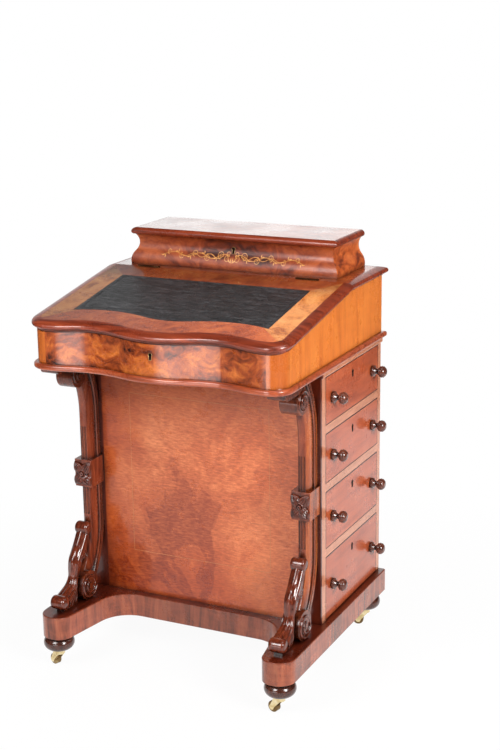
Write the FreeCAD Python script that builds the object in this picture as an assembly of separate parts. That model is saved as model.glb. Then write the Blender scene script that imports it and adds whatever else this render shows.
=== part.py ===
import FreeCAD, Part
import math
import os

from FreeCAD import Rotation, Vector

# A davenport desk: a small writing desk with a sloping lid over a pedestal of drawers.
# Sizes are in millimetres.  +X is the drawer side, -Y the sitter's side, +Z up, the floor is z = 0.
# Depths are measured forward (towards -Y) from the pedestal's back face.

# Levels, as heights of the layers from the floor up
CASTOR_HEIGHT = 40.0
BUN_HEIGHT = 32.0
PLINTH_HEIGHT = 48.0
PEDESTAL_HEIGHT = 511.0
TOP_BEAD_HEIGHT = 12.0
BASE_THICKNESS = 12.0
DESK_BACK_HEIGHT = 121.0
DECK_THICKNESS = 18.0
BOX_WALL_HEIGHT = 62.0
BOX_LID_THICKNESS = 14.0

# Pedestal carcase
PEDESTAL_DEPTH = 322.0
PEDESTAL_INSET = 1.0
FRONT_PANEL = 24.0
BACK_PANEL = 16.0
LEFT_PANEL = 18.0
TOP_BEAD_OUT = 3.0

# Plinth with two forward toes
PLINTH_SIDE_OUT = 15.0
PLINTH_BACK_OUT = 4.0
PLINTH_FRONT_OUT = 18.0
PLINTH_BACK_CORNER = 4.0
TOE_LENGTH = 192.5
TOE_WIDTH = 61.5
TOE_OUTER_RADIUS = 33.0
TOE_INNER_RADIUS = 27.0
TOE_TAPER = 30.0
TOE_SWEEP_RADIUS = 66.0
PLINTH_EASING = 1.5

# Bun feet and castors
FOOT_INSET = 32.0
FOOT_TOE_INSET = 31.5
FOOT_BACK_DEPTH = 34.0
BUN_RADIUS = 32.0
BUN_SOLE_RADIUS = 18.0
BUN_NECK_RADIUS = 25.0
BUN_NECK_HEIGHT = 4.0
CASTOR_PLATE_RADIUS = 15.0
CASTOR_PLATE = 3.0
CASTOR_PIN_RADIUS = 4.0
CASTOR_RIVET_RADIUS = 6.0
CASTOR_RIVET = 1.5
CROWN_RADIUS = 10.0
CROWN_HEIGHT = 8.5
CASTOR_TRAIL = 15.0
WHEEL_RADIUS = 11.5
WHEEL_WIDTH = 13.0
WHEEL_CHAMFER = 1.5
AXLE_RADIUS = 2.0
CHEEK = 2.6
CHEEK_RADIUS = 5.5
ARM_BACK = 5.5
ARM_FRONT = 7.5
CASTOR_HEADINGS = {"front_left": 158.0, "front_right": 165.0, "back_left": 200.0, "back_right": 195.0}

# Drawers; the proportions share out the height between the rails, from the top one down
RAIL_HEIGHT = 17.0
RAIL_DEPTH = 60.0
DRAWER_PROPORTIONS = (99.0, 103.0, 121.0, 137.0)
RUNNER_WIDTH = 18.0
DRAWER_FRONT = 18.0
DRAWER_SIDE = 10.0
DRAWER_BOTTOM = 6.0
DRAWER_BACK_SPACE = 12.0
DRAWER_SIDE_DROP = 14.0
BOTTOM_GROOVE = 6.0
DUMMY_THICKNESS = 6.0
KNOB_INSET = 34.5
KNOB_RADIUS = 12.0
KNOB_BASE_RADIUS = 11.5
KNOB_NECK_RADIUS = 4.5
KNOB_BASE = 7.0
KNOB_NECK = 12.0
KNOB_HEAD_START = 15.0
KNOB_HEAD_FOOT = 7.0
KNOB_TIP_RADIUS = 4.0
KNOB_BASE_SOLE = 9.5
KNOB_BASE_SHOULDER = 8.5
KNOB_PROJECTION = 32.0
KNOB_TENON_RADIUS = 5.0
KNOB_TENON = 5.0

# Locks
LOCK_WIDTH = 44.0
LOCK_HEIGHT = 36.0
LOCK_DEPTH = 11.0
BOLT_WIDTH = 18.0
BOLT_HEIGHT = 24.0
BOLT_THICKNESS = 5.0
BOLT_THROW = 6.0
KEYHOLE_DROP = 23.0
KEYHOLE_RADIUS = 2.4
KEYHOLE_SLOT = 2.6
KEYHOLE_LENGTH = 9.0

# Pillars with a scroll at each end
PILLAR_INSET = 22.0
PILLAR_WIDTH = 30.0
PILLAR_BACK = 8.0
PILLAR_BEAD_RADIUS = 3.0
PILLAR_SHAFT_WIDTH = 25.0
PILLAR_QUIRK = 1.5
PILLAR_BROW = 4.5
PILLAR_CROWN = 3.0
PILLAR_DEPTH = 44.0
PILLAR_BEND_RADIUS = 225.0
PILLAR_BEND_START = 165.0
PILLAR_BEND_END = 128.0
SCROLL_WIDTH = 38.0
TOP_SCROLL_FORWARD = 78.0
TOP_SCROLL_RADIUS = 25.5
TOP_SCROLL_DROP = 36.0
LOW_SCROLL_FORWARD = 73.0
LOW_SCROLL_RADIUS = 31.0
LOW_SCROLL_RISE = 29.5
VOLUTE_RELIEF = 2.0
VOLUTE_SHARE = 0.56
EYE_RADIUS = 6.5
CAP_SETBACK = 22.0
CAP_THICKNESS = 16.0
CAP_ROUNDING = 10.0
BLOCK_WIDTH = 40.0
BLOCK_HEIGHT = 58.0
BLOCK_DEPTH = 50.0
BLOCK_RISE = 238.0
BLOCK_EASING = 3.0
PETAL_RADIUS = 10.5
PETAL_OFFSET = 10.5
PETAL_RELIEF = 3.5
BOSS_RADIUS = 5.5
BOSS_RELIEF = 5.5
FLUTE_RADIUS = 1.9
FLUTE_PITCH = 5.2
FLUTE_COUNT = 3
UPPER_FLUTE_LENGTH = 71.0
LOWER_FLUTE_LENGTH = 62.0

# Scroll feet that stand on the toes in front of the pillars
# Places on a foot are shares of the way forward and down from its top roll to its toe roll
# Each station of the strut: forward share, downward share, slope in degrees, width and depth
FOOT_STATIONS = (
    (0.035, 0.08, 42.0, 26.0, 21.0),
    (0.18, 0.285, 48.0, 27.0, 26.0),
    (0.36, 0.46, 62.0, 26.0, 25.0),
    (0.42, 0.585, 80.0, 24.0, 21.0),
    (0.475, 0.72, 80.0, 20.0, 16.5),
    (0.595, 0.875, 48.0, 22.0, 17.0),
    (0.9, 1.0, 22.0, 27.0, 22.0),
)
# The leaf behind the strut: forward share, downward share and corner radius
FOOT_LEAF = (
    (-0.06, 0.06, 4.0),
    (0.25, 0.3, 0.0),
    (0.38, 0.45, 0.0),
    (0.38, 0.55, 6.0),
    (0.25, 0.48, 5.0),
    (0.09, 0.46, 6.0),
)
FOOT_LEAF_WIDTH = 18.0
FOOT_CURL = (0.135, 0.42)
FOOT_CURL_RADIUS = 10.0
FOOT_CURL_WIDTH = 23.0
FOOT_ROLL_WIDTH = 28.0
FOOT_ROLL_EASING = 3.0
FOOT_TOP_ROLL_RADIUS = 12.5
FOOT_TOP_ROLL_RISE = 150.0
FOOT_TOE_ROLL_RADIUS = 13.0
FOOT_TOE_ROLL_RISE = 21.0
FOOT_TOE_ROLL_INSET = 34.0
FOOT_STEM_GAP = 3.0
FOOT_STEM = (0.6, 0.9)
FOOT_STEM_RISE = 46.0
FOOT_STEM_LEAN = 1.0
FOOT_STEM_WIDTH = 18.0

# Desk body with a serpentine front
DESK_WIDTH = 539.0
DESK_FRONT_OUT = 179.0
SERPENTINE_HOLLOW = 15.0
SERPENTINE_BOW = 21.0
EAR_RUN = 99.5
CORNER_RADIUS = 33.0
DESK_WALL = 18.0
BASE_OUT = 9.0
BASE_NOSE_RADIUS = 4.5

# Sloping lid and the fixed deck behind it
DECK_MARGIN = 36.0
LID_SLOPE = 9.6
LID_THICKNESS = 21.0
NOSE_OUT = 10.5
NOSE_IN = 10.0
NOSE_DROP = 9.0
NOSE_TIP_RADIUS = 6.0
NOSE_HEIGHT = 14.0
NOSE_LIP = 6.0
COVE_FOOT = 1.5
LEATHER_SIDE_MARGIN = 57.5
LEATHER_TOP_MARGIN = 56.0
LEATHER_FRONT_MARGIN = 64.0
LEATHER_THICKNESS = 1.5

# Stationery box on the deck
BOX_SIDE_MARGIN = 48.0
BOX_FRONT_DEPTH = 148.0
BOX_BACK_DEPTH = 10.0
BOX_WALL = 7.0
BOX_BACK_WALL = 10.0
BOX_KEYHOLE_DROP = 19.0
BOX_COVE_RADIUS = 27.0
BOX_INFLECTION = 27.0
BOX_BULGE_RADIUS = 32.5
BOX_LID_FLAT = 4.0
BOX_LID_NOSE = 13.0
BOX_LID_NOSE_DROP = 8.0
BOX_LID_TIP_RADIUS = 6.0
PARTITION_THICKNESS = 4.0
PARTITION_HEIGHT = 46.0

# Butt hinges
HINGE_LENGTH = 50.0
KNUCKLE_RADIUS = 2.8
HINGE_PIN_RADIUS = 1.2
LEAF_THICKNESS = 1.8
LEAF_HEIGHT = 11.0
HINGE_INSET = 41.0

# Clearances
RUNNING_FIT = 0.05
JOINT_GAP = 0.3
LID_GAP = 0.5
DRAWER_GAP = 1.0
TENON_GAP = 0.05
MORTISE_GAP = 1.0

# Levels worked out from the layer heights
Z_BUN = CASTOR_HEIGHT
Z_PLINTH = Z_BUN + BUN_HEIGHT
Z_PEDESTAL = Z_PLINTH + PLINTH_HEIGHT
Z_BEAD = Z_PEDESTAL + PEDESTAL_HEIGHT
Z_BASE = Z_BEAD + TOP_BEAD_HEIGHT
Z_DESK = Z_BASE + BASE_THICKNESS
Z_DECK = Z_DESK + DESK_BACK_HEIGHT
Z_DECK_TOP = Z_DECK + DECK_THICKNESS
Z_BOX_LID = Z_DECK_TOP + BOX_WALL_HEIGHT

# Places worked out from the widths and depths; the whole desk is centred on the origin
TOE_REACH = PEDESTAL_DEPTH + TOE_LENGTH
DESK_EAR_DEPTH = PEDESTAL_DEPTH + DESK_FRONT_OUT
SLOPE = math.radians(LID_SLOPE)
HINGE_DEPTH = BOX_FRONT_DEPTH + DECK_MARGIN
LID_RUN = (DESK_EAR_DEPTH - HINGE_DEPTH) / math.cos(SLOPE)
BASE_REACH = DESK_EAR_DEPTH + SERPENTINE_BOW - SERPENTINE_HOLLOW + BASE_OUT
BACK_Y = (BASE_REACH - NOSE_OUT) / 2
DESK_HALF = DESK_WIDTH / 2
PEDESTAL_HALF = DESK_HALF - PEDESTAL_INSET
PLINTH_HALF = PEDESTAL_HALF + PLINTH_SIDE_OUT
PILLAR_CENTRE = PEDESTAL_HALF - PILLAR_INSET
CAP_REACH = DESK_FRONT_OUT - CAP_SETBACK
HOLLOW_X = DESK_HALF - CORNER_RADIUS - EAR_RUN
BOX_HALF_WIDTH = DESK_HALF - BOX_SIDE_MARGIN
HINGE_X = BOX_HALF_WIDTH - HINGE_INSET
PANEL_Y = BACK_Y - PEDESTAL_DEPTH
OPENING_FRONT_Y = PANEL_Y + FRONT_PANEL
OPENING_BACK_Y = BACK_Y - BACK_PANEL
OPENING_MIDDLE_Y = (OPENING_FRONT_Y + OPENING_BACK_Y) / 2
LEFT_INNER_X = LEFT_PANEL - PEDESTAL_HALF
HINGE_Y = BACK_Y - HINGE_DEPTH
EAR_Y = BACK_Y - DESK_EAR_DEPTH
X_AXIS = Vector(1, 0, 0)
Y_AXIS = Vector(0, 1, 0)
Z_AXIS = Vector(0, 0, 1)


def block(x, y, z):
    """A box between pairs of planes, each given as (low, high)."""
    size = (x[1] - x[0], y[1] - y[0], z[1] - z[0])
    return Part.makeBox(*size, Vector(x[0], y[0], z[0]))


def rod(radius, start, direction, length):
    return Part.makeCylinder(radius, length, start, direction)


def union(shapes):
    """Fuse touching solids into one piece with its seams removed."""
    return shapes[0].multiFuse(shapes[1:]).removeSplitter()


def mirrored(shape):
    """The same piece on the other side of the desk's middle plane."""
    return shape.mirror(Vector(0, 0, 0), X_AXIS)


def polar(centre, radius, angle, plane):
    """A point on a circle; plane maps two coordinates to a point in space."""
    turn = math.radians(angle)
    return plane(centre[0] + radius * math.cos(turn), centre[1] + radius * math.sin(turn))


def arc(centre, radius, start, end, plane):
    angles = (start, (start + end) / 2, end)
    return Part.Arc(*[polar(centre, radius, angle, plane) for angle in angles]).toShape()


def line(start, end):
    return Part.LineSegment(start, end).toShape()


def face_of(edges):
    return Part.Face(Part.Wire(Part.__sortEdges__(edges)))


def flat_at(z):
    """The plan plane at a height."""
    return lambda x, y: Vector(x, y, z)


def side_plane(x):
    """The vertical plane across a pillar: forward distance from the front panel, and height."""
    return lambda forward, z: Vector(x, PANEL_Y - forward, z)


def rounded_outline(corners, plane):
    """A closed outline of straight lines whose corners (u, v, radius) are rounded."""
    edges = []
    joints = []
    for index, (u, v, radius) in enumerate(corners):
        here = Vector(u, v, 0)
        before = Vector(*corners[index - 1][:2], 0)
        after = Vector(*corners[(index + 1) % len(corners)][:2], 0)
        back = (before - here).normalize()
        ahead = (after - here).normalize()
        half = back.getAngle(ahead) / 2
        setback = radius / math.tan(half)
        start = here + back * setback
        end = here + ahead * setback
        middle = here + (back + ahead).normalize() * (radius / math.sin(half) - radius)
        joints.append((start, end))
        if radius:
            edges.append(Part.Arc(*[plane(p.x, p.y) for p in (start, middle, end)]).toShape())
    for index, (_, end) in enumerate(joints):
        following = joints[(index + 1) % len(joints)][0]
        if end.distanceToPoint(following) > 1e-6:
            edges.append(line(plane(end.x, end.y), plane(following.x, following.y)))
    return face_of(edges)


def turned(profile, centre_x, centre_y):
    """A turned piece from an edge list in the XZ plane, its axis moved to a place on plan."""
    solid = face_of(profile).revolve(Vector(0, 0, 0), Z_AXIS, 360)
    solid.translate(Vector(centre_x, centre_y, 0))
    return solid


def radial(radius, z):
    """A point of a turned profile."""
    return Vector(radius, 0, z)


def serpentine(ear_y, offset, z):
    """Edges of the serpentine front from the left side to the right, moved outward by offset."""
    plane = flat_at(z)
    ear_x = DESK_HALF - CORNER_RADIUS
    hollow_y = ear_y + SERPENTINE_HOLLOW
    bow_y = hollow_y - SERPENTINE_BOW
    bow_r = (HOLLOW_X ** 2 + SERPENTINE_BOW ** 2) / (4 * SERPENTINE_BOW)
    ear_r = (EAR_RUN ** 2 + SERPENTINE_HOLLOW ** 2) / (4 * SERPENTINE_HOLLOW)
    bow_turn = math.degrees(math.asin(HOLLOW_X / (2 * bow_r)))
    ear_turn = math.degrees(math.asin(EAR_RUN / (2 * ear_r)))
    edges = [arc((0, bow_y + bow_r), bow_r + offset, -90 - bow_turn, -90 + bow_turn, plane)]
    half = (
        ((HOLLOW_X, hollow_y - bow_r), bow_r - offset, 90 + bow_turn, 90),
        ((HOLLOW_X, hollow_y - ear_r), ear_r - offset, 90, 90 - ear_turn),
        ((ear_x, ear_y + ear_r), ear_r + offset, -90 - ear_turn, -90),
        ((ear_x, ear_y + CORNER_RADIUS), CORNER_RADIUS + offset, -90, 0),
    )
    for centre, radius, start, end in half:
        right = arc(centre, radius, start, end, plane)
        edges.append(right)
        edges.insert(0, mirrored(right))
    return edges


def serpentine_path(ear_y, back_y, offset, z):
    """The serpentine front with straight sides back to a line."""
    side = DESK_HALF + offset
    front = serpentine(ear_y, offset, z)
    shoulder = ear_y + CORNER_RADIUS
    left = line(Vector(-side, back_y, z), Vector(-side, shoulder, z))
    right = line(Vector(side, shoulder, z), Vector(side, back_y, z))
    return [left, *front, right]


def serpentine_board(ear_y, back_y, offset, z, thickness):
    """A board with the serpentine front, straight sides and a straight back."""
    side = DESK_HALF + offset
    back = line(Vector(side, back_y, z), Vector(-side, back_y, z))
    return face_of([*serpentine_path(ear_y, back_y, offset, z), back]).extrude(Z_AXIS * thickness)


def basket_arch(at, left, width, drop, tip_radius):
    """A flat thumb curve: a wide arc that starts level, then a tight one that ends upright."""
    run = width - tip_radius
    fall = drop - tip_radius
    spread = (run ** 2 + fall ** 2) / (2 * fall)
    turn = math.atan2(run, spread - fall)
    wide_radius = spread + tip_radius

    def wide(angle):
        return at(left + wide_radius * math.sin(angle), wide_radius * (1 - math.cos(angle)))

    def tight(angle):
        return at(left + run + tip_radius * math.sin(angle), drop - tip_radius * math.cos(angle))

    upright = math.pi / 2
    return [
        Part.Arc(wide(0), wide(turn / 2), wide(turn)).toShape(),
        Part.Arc(wide(turn), tight((turn + upright) / 2), tight(upright)).toShape(),
    ]


def nose_profile(start, thickness):
    """Thumb moulding over a cove, drawn at the start of a left-hand side; outward is -X."""
    def at(out, drop):
        return start + Vector(-out, 0, thickness - drop)

    inner_top = at(-NOSE_IN, 0)
    tip = at(NOSE_OUT, NOSE_DROP)
    round_under = NOSE_HEIGHT - NOSE_DROP
    under = at(NOSE_OUT - round_under, NOSE_HEIGHT)
    lip = at(NOSE_OUT - NOSE_LIP, NOSE_HEIGHT)
    foot = at(COVE_FOOT, thickness)
    inner_foot = at(-NOSE_IN, thickness)
    half_turn = math.sqrt(0.5)
    bulge = at(NOSE_OUT - round_under * (1 - half_turn), NOSE_DROP + round_under * half_turn)
    hollow = at(COVE_FOOT + (NOSE_OUT - NOSE_LIP - COVE_FOOT) * (1 - half_turn),
                NOSE_HEIGHT + (thickness - NOSE_HEIGHT) * (1 - half_turn))
    return Part.Wire([
        *basket_arch(at, -NOSE_IN, NOSE_OUT + NOSE_IN, NOSE_DROP, NOSE_TIP_RADIUS),
        Part.Arc(tip, bulge, under).toShape(),
        line(under, lip),
        Part.Arc(lip, hollow, foot).toShape(),
        line(foot, inner_foot),
        line(inner_foot, inner_top),
    ])


def sweep(path_edges, profile, mitred=False):
    transition = 1 if mitred else 0
    return Part.Wire(path_edges).makePipeShell([profile], True, False, transition)


def keyhole(centre, direction, depth):
    """The through hole of a lock: a round eye over a narrow slot, along direction."""
    eye = rod(KEYHOLE_RADIUS, centre, direction, depth)
    across = Z_AXIS.cross(direction)
    corner = centre - across * (KEYHOLE_SLOT / 2) - Z_AXIS * KEYHOLE_LENGTH
    slot = Part.makePolygon([
        corner,
        corner + across * KEYHOLE_SLOT,
        corner + across * KEYHOLE_SLOT + Z_AXIS * KEYHOLE_LENGTH,
        corner + Z_AXIS * KEYHOLE_LENGTH,
        corner,
    ])
    return eye.fuse(Part.Face(slot).extrude(direction * depth))


# Plinth, bun feet and castors

def foot_places():
    """Plan centres of the four bun feet by name."""
    side = PLINTH_HALF - FOOT_INSET
    front = BACK_Y - TOE_REACH + FOOT_TOE_INSET
    back = BACK_Y - FOOT_BACK_DEPTH
    return {
        "front_left": (-side, front),
        "front_right": (side, front),
        "back_left": (-side, back),
        "back_right": (side, back),
    }


def plinth():
    """The base board: square at the back, with two rounded toes and a hollow sweep between them."""
    back = BACK_Y + PLINTH_BACK_OUT
    toe = BACK_Y - TOE_REACH
    front = PANEL_Y - PLINTH_FRONT_OUT
    toe_inner = PLINTH_HALF - TOE_WIDTH
    right = [
        (PLINTH_HALF, back, PLINTH_BACK_CORNER),
        (PLINTH_HALF, toe, TOE_OUTER_RADIUS),
        (toe_inner, toe, TOE_INNER_RADIUS),
        (toe_inner - TOE_TAPER, front, TOE_SWEEP_RADIUS),
    ]
    left = [(-x, y, radius) for x, y, radius in reversed(right)]
    solid = rounded_outline(right + left, flat_at(Z_PLINTH)).extrude(Z_AXIS * PLINTH_HEIGHT)
    top_edges = [edge for edge in solid.Edges if edge.BoundBox.ZMin > Z_PEDESTAL - 1e-6]
    return solid.makeChamfer(PLINTH_EASING, top_edges)


def bun_foot(x, y):
    shoulder = Z_PLINTH - BUN_NECK_HEIGHT
    widest = Z_BUN + (BUN_HEIGHT - BUN_NECK_HEIGHT) / 2
    sole = radial(BUN_SOLE_RADIUS, Z_BUN)
    neck = radial(BUN_NECK_RADIUS, shoulder)
    neck_top = radial(BUN_NECK_RADIUS, Z_PLINTH)
    return turned([
        line(radial(0, Z_BUN), sole),
        Part.Arc(sole, radial(BUN_RADIUS, widest), neck).toShape(),
        line(neck, neck_top),
        line(neck_top, radial(0, Z_PLINTH)),
        line(radial(0, Z_PLINTH), radial(0, Z_BUN)),
    ], x, y)


def castor_levels():
    """Heights of the plate's underside, the crown's top and bottom, and the rivet's ends."""
    plate = Z_BUN - CASTOR_PLATE
    crown_top = plate - JOINT_GAP
    crown_bottom = crown_top - CROWN_HEIGHT
    rivet_top = crown_bottom - JOINT_GAP
    return plate, crown_top, crown_bottom, rivet_top, rivet_top - CASTOR_RIVET


def castor_plate(x, y):
    """Brass plate under a bun foot, with the riveted pin that the horn swivels on."""
    plate, _, _, rivet_top, rivet_bottom = castor_levels()
    return union([
        rod(CASTOR_PLATE_RADIUS, Vector(x, y, plate), Z_AXIS, CASTOR_PLATE),
        rod(CASTOR_PIN_RADIUS, Vector(x, y, rivet_bottom), Z_AXIS, plate - rivet_bottom),
        rod(CASTOR_RIVET_RADIUS, Vector(x, y, rivet_bottom), Z_AXIS, rivet_top - rivet_bottom),
    ])


def castor_horn(x, y, heading):
    """Swivelling horn: a bored crown with two cheeks that carry the axle behind it."""
    _, crown_top, crown_bottom, rivet_top, rivet_bottom = castor_levels()
    inner = WHEEL_WIDTH / 2 + JOINT_GAP
    crown = rod(CROWN_RADIUS, Vector(0, 0, crown_bottom), Z_AXIS, CROWN_HEIGHT)
    axle_centre = Vector(CASTOR_TRAIL, 0, WHEEL_RADIUS)
    pieces = [crown]
    for low in (inner, -inner - CHEEK):
        foot = rod(CHEEK_RADIUS, axle_centre + Y_AXIS * low, Y_AXIS, CHEEK)
        arm = Part.makePolygon([
            Vector(-ARM_BACK, low, crown_bottom),
            Vector(-ARM_BACK, low, crown_top),
            Vector(ARM_FRONT, low, crown_top),
            Vector(CASTOR_TRAIL + CHEEK_RADIUS, low, WHEEL_RADIUS),
            Vector(CASTOR_TRAIL - CHEEK_RADIUS, low, WHEEL_RADIUS),
            Vector(-ARM_BACK, low, crown_bottom),
        ])
        pieces.append(Part.Face(arm).extrude(Y_AXIS * CHEEK))
        pieces.append(foot)
    span = 2 * (inner + CHEEK)
    pieces.append(rod(AXLE_RADIUS, axle_centre - Y_AXIS * (span / 2), Y_AXIS, span))
    bore = rod(CASTOR_PIN_RADIUS + RUNNING_FIT, Vector(0, 0, 0), Z_AXIS, Z_BUN)
    rivet_space = rod(CASTOR_RIVET_RADIUS + JOINT_GAP, Vector(0, 0, rivet_bottom - JOINT_GAP), Z_AXIS,
                      rivet_top - rivet_bottom + 2 * JOINT_GAP)
    horn = union(pieces).cut(bore).cut(rivet_space)
    horn.rotate(Vector(0, 0, 0), Z_AXIS, heading)
    horn.translate(Vector(x, y, 0))
    return horn


def castor_wheel(x, y, heading):
    """Brass wheel with chamfered rims, bored to run on the axle."""
    half = WHEEL_WIDTH / 2
    tread = half - WHEEL_CHAMFER
    rim = WHEEL_RADIUS - WHEEL_CHAMFER
    bore = AXLE_RADIUS + RUNNING_FIT
    corners = [radial(bore, -half), radial(rim, -half), radial(WHEEL_RADIUS, -tread),
               radial(WHEEL_RADIUS, tread), radial(rim, half), radial(bore, half)]
    wheel = turned([line(a, b) for a, b in zip(corners, corners[1:] + corners[:1])], 0, 0)
    wheel.rotate(Vector(0, 0, 0), X_AXIS, 90)
    wheel.translate(Vector(CASTOR_TRAIL, 0, WHEEL_RADIUS))
    wheel.rotate(Vector(0, 0, 0), Z_AXIS, heading)
    wheel.translate(Vector(x, y, 0))
    return wheel


# Pedestal carcase

def opening_levels():
    """Floor and ceiling heights of the four drawer openings, from the top one down."""
    clear = PEDESTAL_HEIGHT - RAIL_HEIGHT * (len(DRAWER_PROPORTIONS) - 1)
    levels = []
    ceiling = Z_BEAD
    for proportion in DRAWER_PROPORTIONS:
        height = clear * proportion / sum(DRAWER_PROPORTIONS)
        levels.append((ceiling - height, ceiling))
        ceiling -= height + RAIL_HEIGHT
    return levels


def bolt_mortise(centre, z):
    """The hole above a lock that its bolt rises into, from height z upward."""
    across = BOLT_WIDTH / 2 + MORTISE_GAP
    through = BOLT_THICKNESS / 2 + MORTISE_GAP
    x, y = (through, across) if centre.along_y else (across, through)
    return block(
        (centre.x - x, centre.x + x),
        (centre.y - y, centre.y + y),
        (z - MORTISE_GAP, z + BOLT_THROW + MORTISE_GAP),
    )


class LockPlace:
    """Where a lock stands: plan centre of its bolt, top of its case, and the way it faces."""

    def __init__(self, x, y, top, along_y):
        self.x = x
        self.y = y
        self.top = top
        self.along_y = along_y

    def span(self, across, through):
        """Plan limits of something centred on the bolt."""
        x, y = (through, across) if self.along_y else (across, through)
        return (self.x - x, self.x + x), (self.y - y, self.y + y)


def drawer_lock_place(ceiling):
    x = PEDESTAL_HALF - DRAWER_FRONT - LOCK_DEPTH / 2
    return LockPlace(x, OPENING_MIDDLE_Y, ceiling - DRAWER_GAP, True)


def desk_lock_place():
    """Behind the middle of the serpentine front, its top just under the sloping lid."""
    face_y = EAR_Y + SERPENTINE_HOLLOW - SERPENTINE_BOW + DESK_WALL
    y = face_y + LOCK_DEPTH / 2
    front_edge = y - LOCK_DEPTH / 2
    return LockPlace(0.0, y, lid_underside(front_edge) - LID_GAP, False)


def box_lock_place():
    y = BACK_Y - BOX_FRONT_DEPTH + BOX_WALL + LOCK_DEPTH / 2
    return LockPlace(0.0, y, Z_BOX_LID, False)


def lock_case(place):
    """A lock case with the slot that its bolt slides in, open at the top."""
    slot_x, slot_y = place.span(BOLT_WIDTH / 2 + JOINT_GAP, BOLT_THICKNESS / 2 + JOINT_GAP)
    slot = block(slot_x, slot_y, (place.top - BOLT_HEIGHT - JOINT_GAP, place.top + JOINT_GAP))
    return lock_housing(place).cut(slot)


def lock_housing(place):
    """The space of a lock case, to let it into the board that carries it."""
    x, y = place.span(LOCK_WIDTH / 2, LOCK_DEPTH / 2)
    return block(x, y, (place.top - LOCK_HEIGHT, place.top))


def lock_bolt(place):
    """The bolt, drawn down into its case; it rises by its throw to lock."""
    x, y = place.span(BOLT_WIDTH / 2, BOLT_THICKNESS / 2)
    return block(x, y, (place.top - BOLT_HEIGHT, place.top))


def pedestal_front_panel():
    return block((-PEDESTAL_HALF, PEDESTAL_HALF), (PANEL_Y, OPENING_FRONT_Y), (Z_PEDESTAL, Z_BEAD))


def pedestal_back_panel():
    return block((-PEDESTAL_HALF, PEDESTAL_HALF), (OPENING_BACK_Y, BACK_Y), (Z_PEDESTAL, Z_BEAD))


def knob_places():
    """Y of a drawer's two knobs."""
    return (OPENING_FRONT_Y + KNOB_INSET, OPENING_BACK_Y - KNOB_INSET)


def front_span():
    """Y limits of a drawer front in its opening."""
    return OPENING_FRONT_Y + DRAWER_GAP, OPENING_BACK_Y - DRAWER_GAP


def knob_holes(x, direction, z, depth):
    """Holes for the tenons of a drawer's two knobs."""
    radius = KNOB_TENON_RADIUS + TENON_GAP
    return [rod(radius, Vector(x, y, z), direction, depth) for y in knob_places()]


def pedestal_left_panel():
    """The blind side, sunk where the dummy drawer fronts lie."""
    panel = block((-PEDESTAL_HALF, LEFT_INNER_X), (OPENING_FRONT_Y, OPENING_BACK_Y), (Z_PEDESTAL, Z_BEAD))
    for floor, ceiling in opening_levels():
        sinking = block((-PEDESTAL_HALF, DUMMY_THICKNESS - PEDESTAL_HALF), (OPENING_FRONT_Y, OPENING_BACK_Y),
                        (floor, ceiling))
        panel = panel.cut(sinking)
    return panel


def dummy_drawer_front(floor, ceiling):
    """A thin front that only looks like a drawer."""
    front = block((-PEDESTAL_HALF, DUMMY_THICKNESS - PEDESTAL_HALF), front_span(),
                  (floor + DRAWER_GAP, ceiling - DRAWER_GAP))
    for hole in knob_holes(-PEDESTAL_HALF, X_AXIS, knob_height(floor, ceiling), KNOB_TENON):
        front = front.cut(hole)
    eye = Vector(-PEDESTAL_HALF, OPENING_MIDDLE_Y, ceiling - DRAWER_GAP - KEYHOLE_DROP)
    return front.cut(keyhole(eye, X_AXIS, DUMMY_THICKNESS / 2))


def pedestal_top():
    """The pedestal's top board; its rounded edge shows as a bead under the desk."""
    half = PEDESTAL_HALF + TOP_BEAD_OUT
    board = block((-half, half), (PANEL_Y - TOP_BEAD_OUT, BACK_Y + TOP_BEAD_OUT), (Z_BEAD, Z_BASE))
    edges = [edge for edge in board.Edges if abs(edge.BoundBox.ZLength) < 1e-6]
    board = board.makeFillet(TOP_BEAD_OUT, edges)
    ceiling = opening_levels()[0][1]
    return board.cut(bolt_mortise(drawer_lock_place(ceiling), ceiling))


def drawer_rails():
    """Rails between the drawers, each with the mortise of the lock below it."""
    rails = []
    for floor, ceiling in opening_levels()[1:]:
        rail = block((PEDESTAL_HALF - RAIL_DEPTH, PEDESTAL_HALF), (OPENING_FRONT_Y, OPENING_BACK_Y),
                     (ceiling, ceiling + RAIL_HEIGHT))
        rails.append(rail.cut(bolt_mortise(drawer_lock_place(ceiling), ceiling)))
    return rails


def drawer_runners():
    """Runners behind the rails, along the front and back panels."""
    runners = []
    for floor, _ in opening_levels()[:-1]:
        for low in (OPENING_FRONT_Y, OPENING_BACK_Y - RUNNER_WIDTH):
            runners.append(block((LEFT_INNER_X, PEDESTAL_HALF - RAIL_DEPTH), (low, low + RUNNER_WIDTH),
                                 (floor - RAIL_HEIGHT, floor)))
    return runners


# Drawers

def knob_height(floor, ceiling):
    return (floor + ceiling) / 2


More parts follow.
